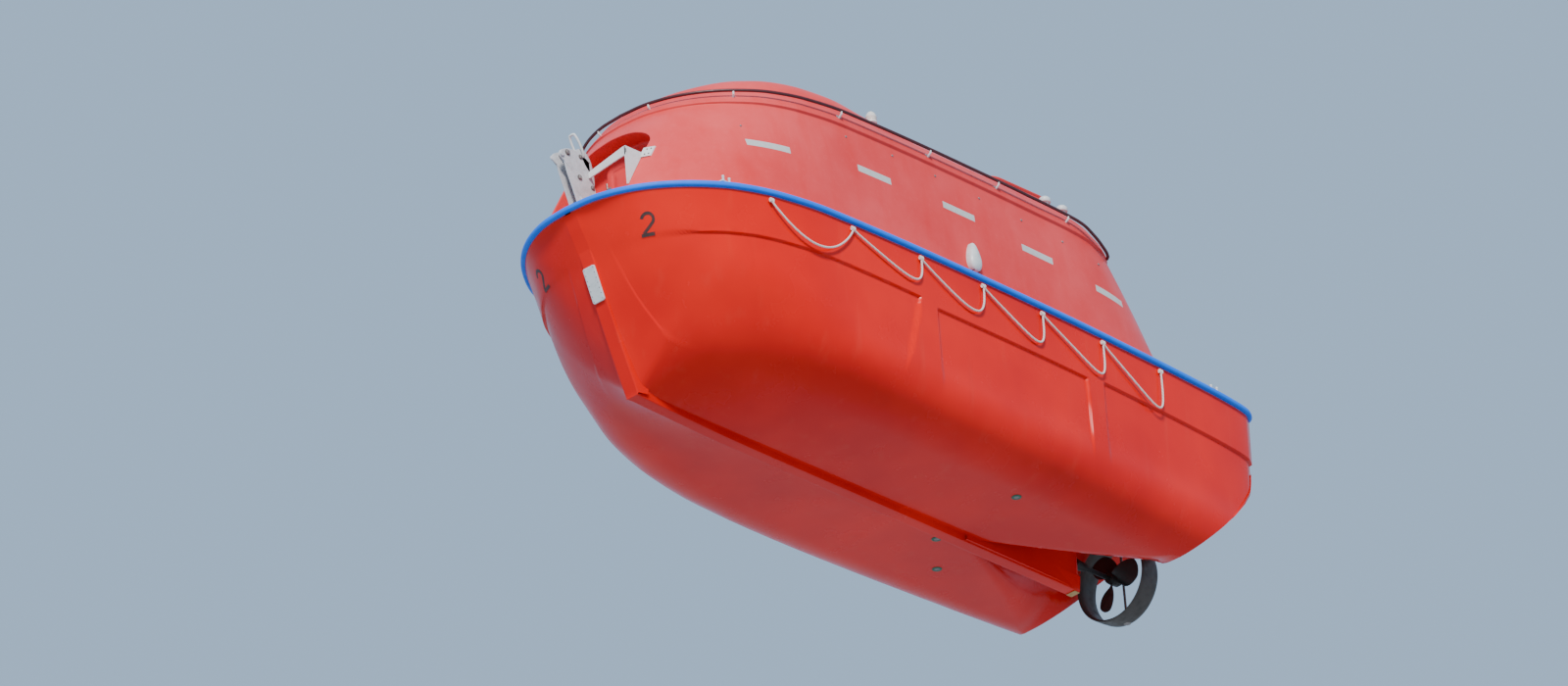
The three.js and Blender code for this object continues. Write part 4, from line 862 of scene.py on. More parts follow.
def plan_line():
    """The boat's outline from the stem round the port side to the middle of the transom."""
    y = np.concatenate([BOW_Y + 0.9 * np.linspace(0, 1, 70) ** 2.2, np.linspace(-2.5, 3.2, 200)[1:],
                        3.2 + 0.16 * np.sin(np.linspace(0, np.pi / 2, 24))[1:]])
    corner = float(gunwale(STERN_Y))
    x = np.linspace(corner, 0, 40)[1:]
    stern = np.column_stack([x, STERN_Y + TRANSOM_CROWN * (1 - (x / corner) ** 2)])
    return np.vstack([np.column_stack([gunwale(y), y]), stern])


def fender_rows():
    """The profile carried round: the closed outline is walked evenly and softened at its corners, and each
    row is moved outwards by its own offset, square to the outline."""
    half = plan_line()
    loop = softened(walked(np.vstack([half, (half * [-1, 1])[-2:0:-1]]), 900), 4)
    ahead = np.roll(loop, -1, 0) - np.roll(loop, 1, 0)
    normal = np.column_stack([ahead[:, 1], -ahead[:, 0]])
    normal /= np.linalg.norm(normal, axis=1)[:, None]
    normal *= np.sign((normal[200] * loop[200]).sum())
    out, up = np.array(FENDER_PROFILE).T[:, :, None]
    flat = loop + normal * (out[:, :, None] + GAP)
    return np.dstack([flat, np.broadcast_to(FENDER_Z + up, flat.shape[:2])])


piece("fender", grid(fender_rows(), wrap_v=True), FENDER_BLUE,
      replaces=["gunwale_fender"], crease=60)

# %% [markdown]
# ## The canopy
# The canopy is one moulding over the whole boat: flared sides that lean in, a bead round the roof's edge, a
# low crowned roof, and an arched recess in front for the hook. It could be a box with rounded edges, but its
# plan changes at every height, so it is written as a stack of plan curves. Every curve starts on the arch of
# the recess, or on the centreline above it, and the recess grows inwards from that same edge with a lip.

# %% The canopy's tables
CANOPY_Z = [0.860, 1.100, 1.400, 1.700, 1.900, 1.960, 2.010, 2.050, 2.090]
CANOPY_FRONT = curve(CANOPY_Z, [-3.322, -3.190, -3.010, -2.810, -2.650, -2.610, -2.510, -2.310, -1.300])
CANOPY_AFT = curve(CANOPY_Z, [2.710, 2.560, 2.370, 2.160, 2.010, 1.975, 1.900, 1.700, 1.250])
CANOPY_HALF = curve(CANOPY_Z, [1.195, 1.176, 1.150, 1.118, 1.092, 1.068, 0.990, 0.820, 0.250])
SHOULDER_Y, AFT_TAPER = 0.900, 0.05
RECESS_HALF, RECESS_SPRING, RECESS_RISE, RECESS_BACK = 0.440, 1.420, 0.220, -2.650
HUMP_UP = curve([-2.700, -2.450, -2.150, -1.800, -1.400, -1.000, -0.500],
                [0, 0.045, 0.095, 0.110, 0.100, 0.050, 0])
RUN = SHOULDER_Y - BOW_Y
READ_Y = BOW_Y + 1.2 * np.linspace(0, 1, 1500) ** 2  # the gunwale's bow end as a table, to be read by its x
READ_X = gunwale(READ_Y)


def hump(y, z):
    """How far the roof swells up in its fore half: a curve along the boat, that grows between two heights."""
    return HUMP_UP(y) * smooth(1.930, 2.015, z)


def bead(z):
    """How far the roof's edge stands out: a rounded bead with a sharp lower edge."""
    return 0.020 * smooth(1.794, 1.812, z) * smooth(1.935, 1.860, z)


def plan_x(y, z):
    """Half-breadth of the canopy at (y, z): the gunwale's own curve drawn in, forward of the shoulder, and a
    rounded-off square aft of it."""
    y, z = np.broadcast_arrays(np.asarray(y, float), np.asarray(z, float))
    front, aft, half = CANOPY_FRONT(z) - bead(z), CANOPY_AFT(z) + bead(z), CANOPY_HALF(z) + bead(z)
    fore = half * gunwale(BOW_Y + (y - front) * RUN / (SHOULDER_Y - front)) / HALF_BEAM
    share = np.clip((y - SHOULDER_Y) / (aft - SHOULDER_Y), 0, 1)
    turn = np.arcsin(share ** (1 / 0.62))
    taper = 1 - AFT_TAPER * (y - SHOULDER_Y) / (STERN_Y - SHOULDER_Y)
    back = half * gunwale(SHOULDER_Y) / HALF_BEAM * taper * np.cos(turn) ** 0.42
    return np.where(y < SHOULDER_Y, fore, back)


def front_y(x, z):
    """Where the canopy's front stands at (x, z), from the gunwale's curve read the other way round."""
    front, half = CANOPY_FRONT(z) - bead(z), CANOPY_HALF(z) + bead(z)
    along = np.interp(np.abs(x) * HALF_BEAM / half, READ_X, READ_Y) - BOW_Y
    return front + along * (SHOULDER_Y - front) / RUN


print("canopy's half-breadth amidships at the deck:", round(float(plan_x(0, DECK_TOP)), 3), "m")

# %% The canopy's skin
LIP_R = 0.014
FORE_COLUMNS, AFT_COLUMNS = 120, 70


def arch_edge(grow, count_side=70, count_arch=40):
    """The recess's edge from the deck up its side and over its arch to the centreline, as (x, z)."""
    side_z = np.linspace(DECK_TOP, RECESS_SPRING, count_side)
    turn = np.linspace(0, np.pi / 2, count_arch)[1:]
    x = np.concatenate([np.full(count_side, RECESS_HALF + grow), (RECESS_HALF + grow) * np.cos(turn)])
    z = np.concatenate([side_z, RECESS_SPRING + (RECESS_RISE + grow) * np.sin(turn)])
    return x, z


def canopy_rows():
    """Port half, one row a height: forward columns from the recess's edge to the shoulder, then aft ones.
    A row's y runs out from its start by a power, and its x is the plan's there."""
    edge_x, edge_z = arch_edge(LIP_R)
    above = np.concatenate([
        np.linspace(edge_z[-1], 1.79, 10)[1:], np.linspace(1.79, 1.94, 40)[1:],
        np.linspace(1.94, 2.02, 22)[1:], 2.02 + 0.07 * np.sin(np.linspace(0, np.pi / 2, 26))[1:]])
    z = np.concatenate([edge_z, above])[:, None]
    start_x = np.concatenate([edge_x, np.zeros(len(above))])[:, None]
    start_y = front_y(start_x, z)
    t = np.linspace(0, 1, FORE_COLUMNS)[None, :]
    y = start_y + (SHOULDER_Y - start_y) * t ** 1.8
    x = plan_x(y, z)
    x[:, 0] = start_x[:, 0]
    aft = CANOPY_AFT(z) + bead(z)
    a = np.pi / 2 * np.linspace(0, 1, AFT_COLUMNS)[None, 1:] ** 1.35
    back_y = SHOULDER_Y + (aft - SHOULDER_Y) * np.sin(a) ** 0.62
    back_x = plan_x(back_y, z)
    back_x[:, -1] = 0
    y = np.hstack([y, back_y])
    rows = np.dstack([np.hstack([x, back_x]), y, z + hump(y, z + 0 * y)])
    crown = rows[-1:] * [0, 1, 1]
    return np.concatenate([rows, crown])


def without(shape, inside):
    """A grid less the faces whose middle lies inside a region."""
    points, quads = shape
    middle = points[quads].mean(1)
    return points, quads[~inside(middle)]


print("canopy's rows and columns a side:", canopy_rows().shape[:2])

# %% The openings in the skin
CUPOLA_Y = 1.480
AFT_HATCH = {"y": 2.350, "z": 1.430, "half": 0.300, "tall": 0.330, "lean": math.atan2(0.700, 1.040)}
LEAN_V = np.array([0, -math.sin(AFT_HATCH["lean"]), math.cos(AFT_HATCH["lean"])])
LEAN_N = np.array([0, math.cos(AFT_HATCH["lean"]), math.sin(AFT_HATCH["lean"])])
AFT_SLOPE = ((-1, 0, 0), LEAN_V)
AFT_MIDDLE = np.array([0, AFT_HATCH["y"], AFT_HATCH["z"]])


def canopy_holes(p):
    """The aft hatchway in the sloping end, and the opening under the cupola."""
    up = (p - AFT_MIDDLE) @ LEAN_V
    aft = (p[:, 1] > 2.0) & (np.abs(p[:, 0]) < AFT_HATCH["half"]) & (np.abs(up) < AFT_HATCH["tall"])
    roof = (p[:, 2] > 1.98) & (np.abs(p[:, 0]) < 0.34) & (np.abs(p[:, 1] - CUPOLA_Y) < 0.31)
    return aft | roof


CANOPY_SKIN = [without(shape, canopy_holes) for shape in both_sides(canopy_rows())]
print("canopy skin:", sum(len(quads) for _, quads in CANOPY_SKIN), "faces")

# %% The recess
FORE_OPENING = {"half": 0.186, "low": 1.000, "high": 1.506}
RECESS_FILLET = 0.025


def recess():
    """The port half of the recess in four runs of rows: a lip (a parabola from the skin round the edge), the
    cheek, a quarter-round fillet, and the back wall up to the hatchway."""
    out_x, out_z = arch_edge(LIP_R)
    edge_x, edge_z = arch_edge(0.0)
    lip = np.column_stack([out_x, front_y(out_x, out_z), out_z])
    corner = np.column_stack([edge_x, front_y(edge_x, edge_z), edge_z])
    inner = corner + [0, LIP_R, 0]
    t = np.linspace(0, 1, 7)[:, None, None]
    rounded = (1 - t) ** 2 * lip + 2 * t * (1 - t) * corner + t**2 * inner
    depth = (RECESS_BACK - RECESS_FILLET - inner[:, 1:2]) * [0, 1, 0]
    cheek = inner + depth * np.linspace(0, 1, 24)[1:, None, None]
    wall_edge = np.column_stack([edge_x, np.full_like(edge_x, RECESS_BACK), edge_z])
    toward = [0, RECESS_BACK, 1.10] - wall_edge
    toward /= np.linalg.norm(toward, axis=1)[:, None]
    a = np.linspace(0, np.pi / 2, 7)[1:, None, None]
    bend = wall_edge + toward * RECESS_FILLET * (1 - np.cos(a)) - [0, RECESS_FILLET, 0] * (1 - np.sin(a))
    last = bend[-1]
    hatchway = np.column_stack([np.clip(last[:, 0], 0, FORE_OPENING["half"]), last[:, 1],
                                np.clip(last[:, 2], FORE_OPENING["low"], FORE_OPENING["high"])])
    wall = last + (hatchway - last) * np.linspace(0, 1, 12)[1:, None, None]
    rows = np.concatenate([rounded, cheek, bend, wall])
    rows[:, -1, 0] = 0
    return rows


def sill():
    """The back wall under the hatchway, from the deck to its lower edge."""
    x, z = np.meshgrid(np.linspace(0, FORE_OPENING["half"], 8), np.linspace(DECK_TOP, FORE_OPENING["low"], 6))
    return np.dstack([x, np.full_like(x, RECESS_BACK), z])


print("recess's depth at the deck:", round(RECESS_BACK - float(front_y(RECESS_HALF, DECK_TOP)), 3), "m")

# %% The deck at the canopy's foot
DECK_ROUND, JOINT_Z = 0.008, [0.82, 0.8005]
EDGE_TURN = np.linspace(0, np.pi / 2, 5)


def flange(y, inside):
    """The deck at the canopy's foot: flat from an inner line to a rounded edge, then down to the joint under
    the fender."""
    y = y[:, None]
    rim = gunwale(y)
    start = np.minimum(2 * inside * (plan_x(y, DECK_TOP) - 0.05), rim * 0.5)
    shoulder = rim - DECK_ROUND
    flat = start + (np.maximum(shoulder, start) - start) * np.linspace(0, 1, 10)
    x = np.hstack([flat, np.maximum(shoulder, 0) + DECK_ROUND * np.sin(EDGE_TURN[1:]), rim, rim])
    z = np.concatenate([np.full(10, DECK_TOP), DECK_TOP - DECK_ROUND * (1 - np.cos(EDGE_TURN[1:])), JOINT_Z])
    return np.dstack([x, np.broadcast_to(y, x.shape), np.broadcast_to(z, x.shape)])


def transom_edge():
    """The deck's edge across the stern: the same round, on a line that bulges aft by a parabola."""
    corner = float(gunwale(STERN_Y))
    x = np.linspace(corner, 0, 30)[:, None]
    crown = TRANSOM_CROWN * (1 - (x / corner) ** 2)
    depth = np.hstack([-0.010 - crown, DECK_ROUND * (np.sin(EDGE_TURN) - 1) + 0 * x, 0 * x, 0 * x])
    z = np.concatenate([[DECK_TOP], DECK_TOP - DECK_ROUND * (1 - np.cos(EDGE_TURN)), JOINT_Z])
    return np.dstack([x + 0 * depth, STERN_Y + crown + depth, z + 0 * depth])


print("deck's rows over its edge:", transom_edge().shape[1])

# %% The canopy, with its recess and its deck
FORE_DECK_END, SIDE_DECK_END, DECK_START = RECESS_BACK + 0.06, 2.60, BOW_Y + 0.002
bow_y = DECK_START + (FORE_DECK_END - DECK_START) * np.linspace(0, 1, 70) ** 2.2
halves = [recess(), sill(), flange(bow_y, 0), flange(np.linspace(FORE_DECK_END, SIDE_DECK_END, 120), 1),
          flange(np.linspace(SIDE_DECK_END, STERN_Y - 0.010, 24), 0), transom_edge()]
shapes = CANOPY_SKIN + [shape for rows in halves for shape in both_sides(rows)]
piece("canopy_shell", shapes, CANOPY_RED, replaces=["canopy"], crease=38, weld=4e-5)

# %% [markdown]
# ## Hatchways and hatches
# A coaming frames each hatchway, and a pressed panel with a raised middle closes it. The panels ride their
# own bodies, so they swing with their hinges: the fore one at the recess's starboard side, the aft one at
# its top.

# %% Frames and panels
PANEL_STEPS = [(0.000, 0.0), (0.000, 0.7), (0.002, 0.92), (0.007, 1.0), (0.045, 1.0), (0.052, 0.86),
               (0.056, 0.72), (0.070, 0.70), (0.082, 0.78), (0.094, 0.98), (0.105, 1.08)]


def frame_ring(outer, inner, height, origin, u, v, edge=0.006):
    """A flat frame between two outlines of equal count, proud by its height, with rounded edges: each row is
    a share of the way from the outer outline to the inner one."""
    steps = [(0, -0.05), (0, height - edge), (0.04, height - 0.3 * edge), (0.12, height), (0.88, height),
             (0.96, height - 0.3 * edge), (1, height - edge), (1, -0.05)]
    rows = [laid(outer + (inner - outer) * share, h, origin, u, v) for share, h in steps]
    return grid(np.array(rows), wrap_v=True)


def panel(half_u, half_v, radius, thickness, origin, u, v):
    """A hatch panel out of nested outlines: a rounded rim, a groove inside it, and a middle pressed up."""
    rows = []
    for inset, lift in PANEL_STEPS:
        shape = round_rect(half_u - inset, half_v - inset, max(radius - inset * 0.6, 0.02))
        rows.append(laid(shape, thickness * lift, origin, u, v))
    for k in (0.7, 0.35, 0.0):
        rows.append(laid(shape * k, thickness * (1.08 + 0.06 * (1 - k)), origin, u, v))
    back = laid(shape * 0, 0.0, origin, u, v)
    return grid(np.array([back] + rows), wrap_v=True)


print("a panel's outlines:", len(PANEL_STEPS) + 4)

# %% Hinges and handles
LEVER_BOSS = [(0, 0), (0.020, 0), (0.020, 0.008), (0.013, 0.014), (0.010, 0.038), (0, 0.042)]


def lever(at, along, out, length, radius=0.0085):
    """A handle: a turned spindle that stands out, and a tapering grip."""
    at, along, out = (np.asarray(a, float) for a in (at, along, out))
    knee = at + out * 0.036
    grip = swept([knee - along * 0.012, knee, knee + along * 0.4 * length, knee + along * length],
                 [0.7 * radius, radius, radius, 0.8 * radius], 12, up=tuple(out))
    return [turned(LEVER_BOSS, at, out, 20), grip]


def knuckles(at, along, reach, middle, radius):
    """A hinge's three barrels along its pin: a middle one, and one on either side that ends at the reach."""
    at, along = np.asarray(at, float), np.asarray(along, float)
    spans = ((-reach, -middle - 0.005), (-middle, middle), (middle + 0.005, reach))
    return [bar(at + along * a, at + along * b, radius) for a, b in spans]


print("barrels of a hinge:", len(knuckles((0, 0, 0), (0, 0, 1), 0.16, 0.055, 0.01)))

# %% The coamings
FORE_MIDDLE, FORE_TALL, FORE_HALF = np.array([0, RECESS_BACK, 1.2525]), 0.2675, 0.200
fore_frame = frame_ring(round_rect(FORE_HALF + 0.030, FORE_TALL + 0.030, 0.080),
                        round_rect(FORE_HALF - 0.025, FORE_TALL - 0.025, 0.060), 0.018, FORE_MIDDLE, *UPRIGHT)
aft_frame = frame_ring(round_rect(0.335, 0.365, 0.090), round_rect(0.275, 0.305, 0.060), 0.022, AFT_MIDDLE,
                       *AFT_SLOPE)
piece("hatch_frames", [fore_frame, aft_frame], CANOPY_RED, crease=50)

# %% The fore hatch
fore_face = FORE_MIDDLE - [0, 0.018, 0]
fore_panel = panel(FORE_HALF + 0.012, FORE_TALL + 0.012, 0.066, 0.022, fore_face - [0, 0.0005, 0], *UPRIGHT)
piece("fore_hatch_panel", fore_panel, CANOPY_RED, "fore_hatch_body",
      replaces=["fore_hatch"], crease=40)
gear = knuckles(fore_face + [-0.222, -0.0145, 0], (0, 0, 1), 0.16, 0.055, 0.0095)
gear.append(pressed(round_rect(0.024, 0.110, 0.006), 0.005, 0.0015, fore_face + [-0.196, -0.0235, 0]))
gear += lever(fore_face + [0.140, -0.022, 0], (0, 0, -1), (0, -1, 0), 0.10)
piece("fore_hatch_gear", gear, STEEL_BARE, "fore_hatch_body", crease=40)

# %% The aft hatch
aft_panel = panel(0.314, 0.344, 0.076, 0.026, AFT_MIDDLE + LEAN_N * 0.0225, *AFT_SLOPE)
piece("aft_hatch_panel", aft_panel, CANOPY_RED, "aft_hatch_body", replaces=["aft_hatch"],
      crease=40)
gear = knuckles(AFT_MIDDLE + LEAN_V * 0.360 + LEAN_N * 0.040, (1, 0, 0), 0.19, 0.065, 0.0105)
leaf_at = AFT_MIDDLE + LEAN_V * 0.327 + LEAN_N * 0.046
gear.append(pressed(round_rect(0.150, 0.026, 0.006), 0.005, 0.0015, leaf_at, *AFT_SLOPE))
grip_at = AFT_MIDDLE - LEAN_V * 0.150 + LEAN_N * 0.046 + [0.150, 0, 0]
gear += lever(grip_at, (-1, 0, 0), LEAN_N, 0.11)
piece("aft_hatch_gear", gear, STEEL_BARE, "aft_hatch_body", crease=40)

# %% [markdown]
# ## The cupola
# The helmsman's cupola stands on the roof. Its wall is a stack of rounded rectangles, and its columns are
# placed so that the windows' upright edges fall on them: the windows are then cut along grid lines, and a
# rubber seal covers each edge. The glazing behind keeps the frame's own band, in clear glass.

# %% The cupola's plan
CUPOLA_MIDDLE = np.array([0.0, CUPOLA_Y, 0.0])
CUPOLA_HALF_X, CUPOLA_HALF_Y = 0.430, 0.400
CUPOLA_RINGS = {"z": [1.960, 2.200, 2.480, 2.555, 2.590, 2.600],
                "grows": [0.030, 0.012, 0.000, -0.025, -0.070, -0.130],
                "round": [0.150, 0.150, 0.150, 0.150, 0.140, 0.120]}
WINDOW_LOW, WINDOW_HIGH, WINDOW_SHARE = 2.315, 2.465, 0.86
COLUMNS = 19 + 11  # of one flat, and of the corner after it


def cupola_flats(z, q):
    """Flat q at heights z: how far its corners' hubs stand out, half its length, and the corners' radius."""
    grows, radius = (np.interp(z, CUPOLA_RINGS["z"], CUPOLA_RINGS[k]) for k in ("grows", "round"))
    flat_x, flat_y = CUPOLA_HALF_X + grows - radius, CUPOLA_HALF_Y + grows - radius
    return (flat_x, flat_y, radius) if q % 2 == 0 else (flat_y, flat_x, radius)


def quarter_turned(flat, q):
    """Pairs turned about the middle by q quarter turns."""
    c, s = math.cos(q * np.pi / 2), math.sin(q * np.pi / 2)
    return np.column_stack([flat[:, 0] * c - flat[:, 1] * s, flat[:, 0] * s + flat[:, 1] * c])


def cupola_ring(z, out=0.0):
    """Round the cupola at a height: four flats, each split at its window's edges, and four corner arcs."""
    turn = np.linspace(0, np.pi / 2, 13)[1:-1]
    quarters = []
    for q in range(4):
        hub, half, radius = cupola_flats(z, q)
        radius = radius + out
        along = np.concatenate([[-half], WINDOW_SHARE * half * np.linspace(-1, 1, 17), [half]])
        side = np.column_stack([np.full_like(along, hub + radius), along])
        corner = np.column_stack([hub + radius * np.cos(turn), half + radius * np.sin(turn)])
        quarters.append(quarter_turned(np.vstack([side, corner]), q))
    flat = np.vstack(quarters)
    return np.column_stack([flat, np.full(len(flat), z)]) + CUPOLA_MIDDLE


print("points round the cupola:", len(cupola_ring(WINDOW_LOW)))

# %% The cupola's wall and crown
window_z = np.linspace(WINDOW_LOW, WINDOW_HIGH, 9)
below = np.concatenate([[1.99, 2.10], np.linspace(2.18, WINDOW_LOW, 4)])
cupola_z = np.concatenate([below, window_z[1:], [2.49, 2.51, 2.53]])
wall = np.array([cupola_ring(z) for z in cupola_z])
keep = np.ones((len(cupola_z) - 1, wall.shape[1]), bool)
first = len(below) - 1
for q in range(4):
    keep[first:first + 8, q * COLUMNS + 1:q * COLUMNS + 17] = False
points, quads = grid(wall, wrap_v=True)
brow = [cupola_ring(z, out) for z, out in ((2.53, 0.0), (2.538, 0.012), (2.550, 0.018), (2.565, 0.014))]
brow += [cupola_ring(z) for z in (2.576, 2.586, 2.593, 2.598, 2.600)]
inward = np.linspace(0, 1, 8)[1:]
crown = [CUPOLA_MIDDLE + (brow[-1] - CUPOLA_MIDDLE) * [1 - 0.28 * k, 1 - 0.32 * k, 1] + [0, 0.020 * k, 0]
         for k in inward]
shapes = [(points, quads[keep.ravel()]), grid(np.array(brow + crown), wrap_v=True)]
piece("cupola_wall", shapes, CANOPY_RED, replaces=["cupola"], crease=45)

# %% The windows' seals
def window_seal(q):
    """A soft band round one window: a rounded rectangle drawn on the wall. Its height picks the wall's plan,
    and its width is the window's share of the flat."""
    a, b = round_rect(1.0, 1.0, 0.22, 8).T
    z = (WINDOW_LOW + WINDOW_HIGH) / 2 + b * (WINDOW_HIGH - WINDOW_LOW) / 2
    hub, half, radius = cupola_flats(z, q)
    flat = np.column_stack([hub + radius + 0.001, a * WINDOW_SHARE * half])
    path = np.column_stack([quarter_turned(flat, q), z]) + CUPOLA_MIDDLE
    outward = [(1, 0, 0), (0, 1, 0), (-1, 0, 0), (0, -1, 0)][q]
    return swept(path, 0.011, 10, closed=True, up=outward, squash=0.55)


piece("cupola_seals", [window_seal(q) for q in range(4)], RUBBER_BLACK, crease=60)

# %% The cupola's lid
lid = panel(0.262, 0.240, 0.070, 0.024, CUPOLA_MIDDLE + [0, 0.020, 2.603], *FLAT)
piece("cupola_lid", lid, CANOPY_RED, "cupola_hatch_body", replaces=["cupola_hatch"],
      crease=40)
lid_gear = knuckles((0, 1.762, 2.622), (1, 0, 0), 0.11, 0.035, 0.0105)
lid_gear += lever((0.0, 1.262, 2.612), (1, 0, 0), (0, -1, 0), 0.09, 0.007)
piece("cupola_lid_gear", lid_gear, STEEL_BARE, "cupola_hatch_body", crease=40)

# %% [markdown]
# ## The roof rail
# A dark grab rail follows the roof's edge just off the bead, on short brackets, and bends down and in at its
# aft ends. Its route is the canopy's own plan at the edge's height, moved outwards.

# %% Rail and brackets
RAIL_Z, RAIL_OUT, RAIL_R, RAIL_LEVEL_END = 1.910, 0.060, 0.013, 1.30
RAIL_TAIL = [(1.100, 1.430, 1.885), (1.060, 1.620, 1.838), (1.010, 1.790, 1.780), (0.970, 1.812, 1.767)]
RAIL_FEET = [-2.680, -2.320, -1.430, -0.400, 0.405, 1.280]


def rail_route():
    """Port half of the rail, from the centreline in front to the end that turns into the canopy: the plan's
    own curve, then the tail's points walked evenly, with the bend between them worn round."""
    half = float(CANOPY_HALF(1.9)) + RAIL_OUT
    front = float(CANOPY_FRONT(1.9)) - RAIL_OUT
    y = front + (RAIL_LEVEL_END - front) * np.linspace(0, 1, 150) ** 1.9
    x = half * gunwale(BOW_Y + (y - front) * RUN / (SHOULDER_Y - front)) / HALF_BEAM
    knots = np.vstack([[x[-1], RAIL_LEVEL_END, RAIL_Z], RAIL_TAIL])
    bent = walked(knots, 40, closed=False)[1:]
    route = np.vstack([np.column_stack([x, y, np.full_like(y, RAIL_Z)]), bent])
    for _ in range(12):
        route[-42:-3] = 0.5 * route[-42:-3] + 0.25 * (route[-43:-4] + route[-41:-2])
    return route


def bracket(at, away):
    """One bracket: a bent round bar from under the rail to a small plate on the canopy, and two bolts."""
    seat = at - away * 0.040 + np.array([0, 0, -0.052])
    arm = [at - [0, 0, 0.004], at - [0, 0, 0.030], seat + away * 0.006, seat - away * 0.012]
    tangent = np.cross((0, 0, 1), away)
    plate = pressed(round_rect(0.026, 0.020, 0.006), 0.006, 0.0015, seat, tangent, np.cross(away, tangent))
    spots = [seat + tangent * d + away * 0.006 for d in (0.016, -0.016)]
    return [swept(arm, 0.0085, 12, up=(0, 1, 0)), plate], heads(spots, away, 0.0048, 0.004)


route = rail_route()
whole = np.vstack([route[::-1] * [-1, 1, 1], route[1:]])
piece("rail_bar", swept(whole, RAIL_R, 14), RAIL_MAROON, replaces=["roof_rail"])
brackets, rail_bolts = [], []
for y in RAIL_FEET:
    k = int(np.argmin(np.abs(route[:-40, 1] - y)))
    out = np.cross(route[k + 1] - route[k - 1], (0, 0, 1))
    out /= np.linalg.norm(out)
    for side, _ in SIDES:
        bent_bar, bolts = bracket(route[k] * [side, 1, 1], out * [side, 1, 1])
        brackets += bent_bar
        rail_bolts.append(bolts)
piece("rail_brackets", brackets, PAINT_WHITE, crease=40)
piece("rail_bolts", rail_bolts, STEEL_BARE, crease=30)

# %% [markdown]
# ## Release hooks
# Each end has a hook on a post of two side plates, with a closed jaw between them and an oblong suspension
# link through the jaw. The plates are drawn in side view, as they would be cut, and get a rounded edge; the
# pins pass through with washers and nuts. One set of functions draws both ends: the aft hook is the fore one
# turned round.

# %% Side views of the hook, in millimetres aft of the hook's middle and above the waterline
HOOK_PLATE = [(-95, 868), (165, 868), (158, 930), (112, 1080), (98, 1145), (64, 1230), (12, 1285),
              (-12, 1335), (-42, 1364), (-110, 1376), (-180, 1362), (-262, 1318), (-266, 1268),
              (-212, 1240), (-190, 1150), (-146, 1040), (-105, 930)]
HOOK_JAW = [(0, 1090), (75, 1062), (126, 1090), (145, 1160), (141, 1250), (122, 1340), (90, 1405), (40, 1438),
            (-15, 1432), (-57, 1390), (-65, 1310), (-37, 1200)]
JAW_EYE = [(8, 1172), (-4, 1240), (-16, 1300), (-12, 1362), (25, 1384), (62, 1366), (93, 1310), (106, 1240),
           (106, 1170), (75, 1134), (40, 1132)]
HOOK_PINS = [(-32, 1334, 0.012), (-57, 1145, 0.016), (-175, 1325, 0.018), (80, 1098, 0.012), (10, 960, 0.016)]
PLATE_INSIDE, PLATE_OUTSIDE, JAW_HALF, JAW_EDGE = 0.034, 0.046, 0.017, 0.004


def rounded_outline(points, count=96, passes=6):
    """An outline in metres, walked evenly, with its corners worn round."""
    return softened(walked(np.array(points, float) / 1000, count), passes)


def anticlockwise(outline):
    """The outline in the order that leaves its inside on the left, by the sign of its area."""
    x, y = np.asarray(outline, float).T
    return outline if (x * np.roll(y, -1) - y * np.roll(x, -1)).sum() > 0 else outline[::-1]


print("points round a hook's plate:", len(rounded_outline(HOOK_PLATE)))

# %% The hook's plates
def side_on(uv, x, middle_y, aft):
    """A side view set in space at x: u runs from the hook's middle towards amidships and v is the height."""
    return np.column_stack([np.full(len(uv), x), middle_y + aft * uv[:, 0], uv[:, 1]])


def cheek_plates(middle_y, aft):
    """The two side plates: each outline is drawn in a little at both faces, which close on their middle."""
    plate = rounded_outline(HOOK_PLATE, 110, 3)
    centre = plate.mean(0) + 0 * plate
    inset = centre + (plate - centre) * 0.985
    steps = [(centre, PLATE_INSIDE), (inset, PLATE_INSIDE), (plate, PLATE_INSIDE + 0.0015),
             (plate, PLATE_OUTSIDE - 0.003), (inset, PLATE_OUTSIDE), (centre, PLATE_OUTSIDE)]
    return [grid(np.array([side_on(uv, side * x, middle_y, aft) for uv, x in steps]), wrap_v=True)
            for side in (1, -1)]


def foot_and_ribs(middle_y, aft):
    """The base plate on the deck, and four small ribs that stiffen the side plates' feet."""
    base = pressed(round_rect(0.110, 0.150, 0.016), 0.0155, 0.003, (0, middle_y + aft * 0.030, 0.8605), *FLAT)
    rib = anticlockwise(np.array([[0.0465, 0.876], [0.092, 0.876], [0.060, 0.955], [0.0465, 1.000]]))
    ribs = [pressed((rib * [side, 1])[::side], 0.008, 0.001, (0, middle_y + aft * u, 0))
            for side in (1, -1) for u in (0.10, -0.06)]
    return [base] + ribs


def nose_bosses(middle_y, aft):
    """A round boss on the outside of each plate's nose."""
    y = middle_y - aft * 0.243
    return [bar((side * 0.046, y, 1.292), (side * 0.058, y, 1.292), 0.022, 20) for side in (1, -1)]


print("plates and bosses of a hook:", len(cheek_plates(0, 1) + nose_bosses(0, 1)))

# %% The hook's pins, jaw and link
def pins_and_bolts(middle_y, aft):
    """Six bolts in the base plate, and the pins with a washer and a nut at either end."""
    spots = [(x, middle_y + aft * u, 0.876) for x in (-0.085, 0.085) for u in (-0.100, 0.030, 0.155)]
    made = [heads(spots, (0, 0, 1), 0.012, 0.009)]
    for u, z, r in HOOK_PINS:
        y, z = middle_y + aft * u / 1000, z / 1000
        made.append(bar((-0.060, y, z), (0.060, y, z), r, 18))
        washer = [(0, 0), (r + 0.009, 0), (r + 0.009, 0.003), (0, 0.003)]
        for side in (1, -1):
            made.append(turned(washer, (side * 0.0462, y, z), (side, 0, 0), 20))
            made.append(heads([(side * 0.049, y, z)], (side, 0, 0), r + 0.004, 0.009))
    return made


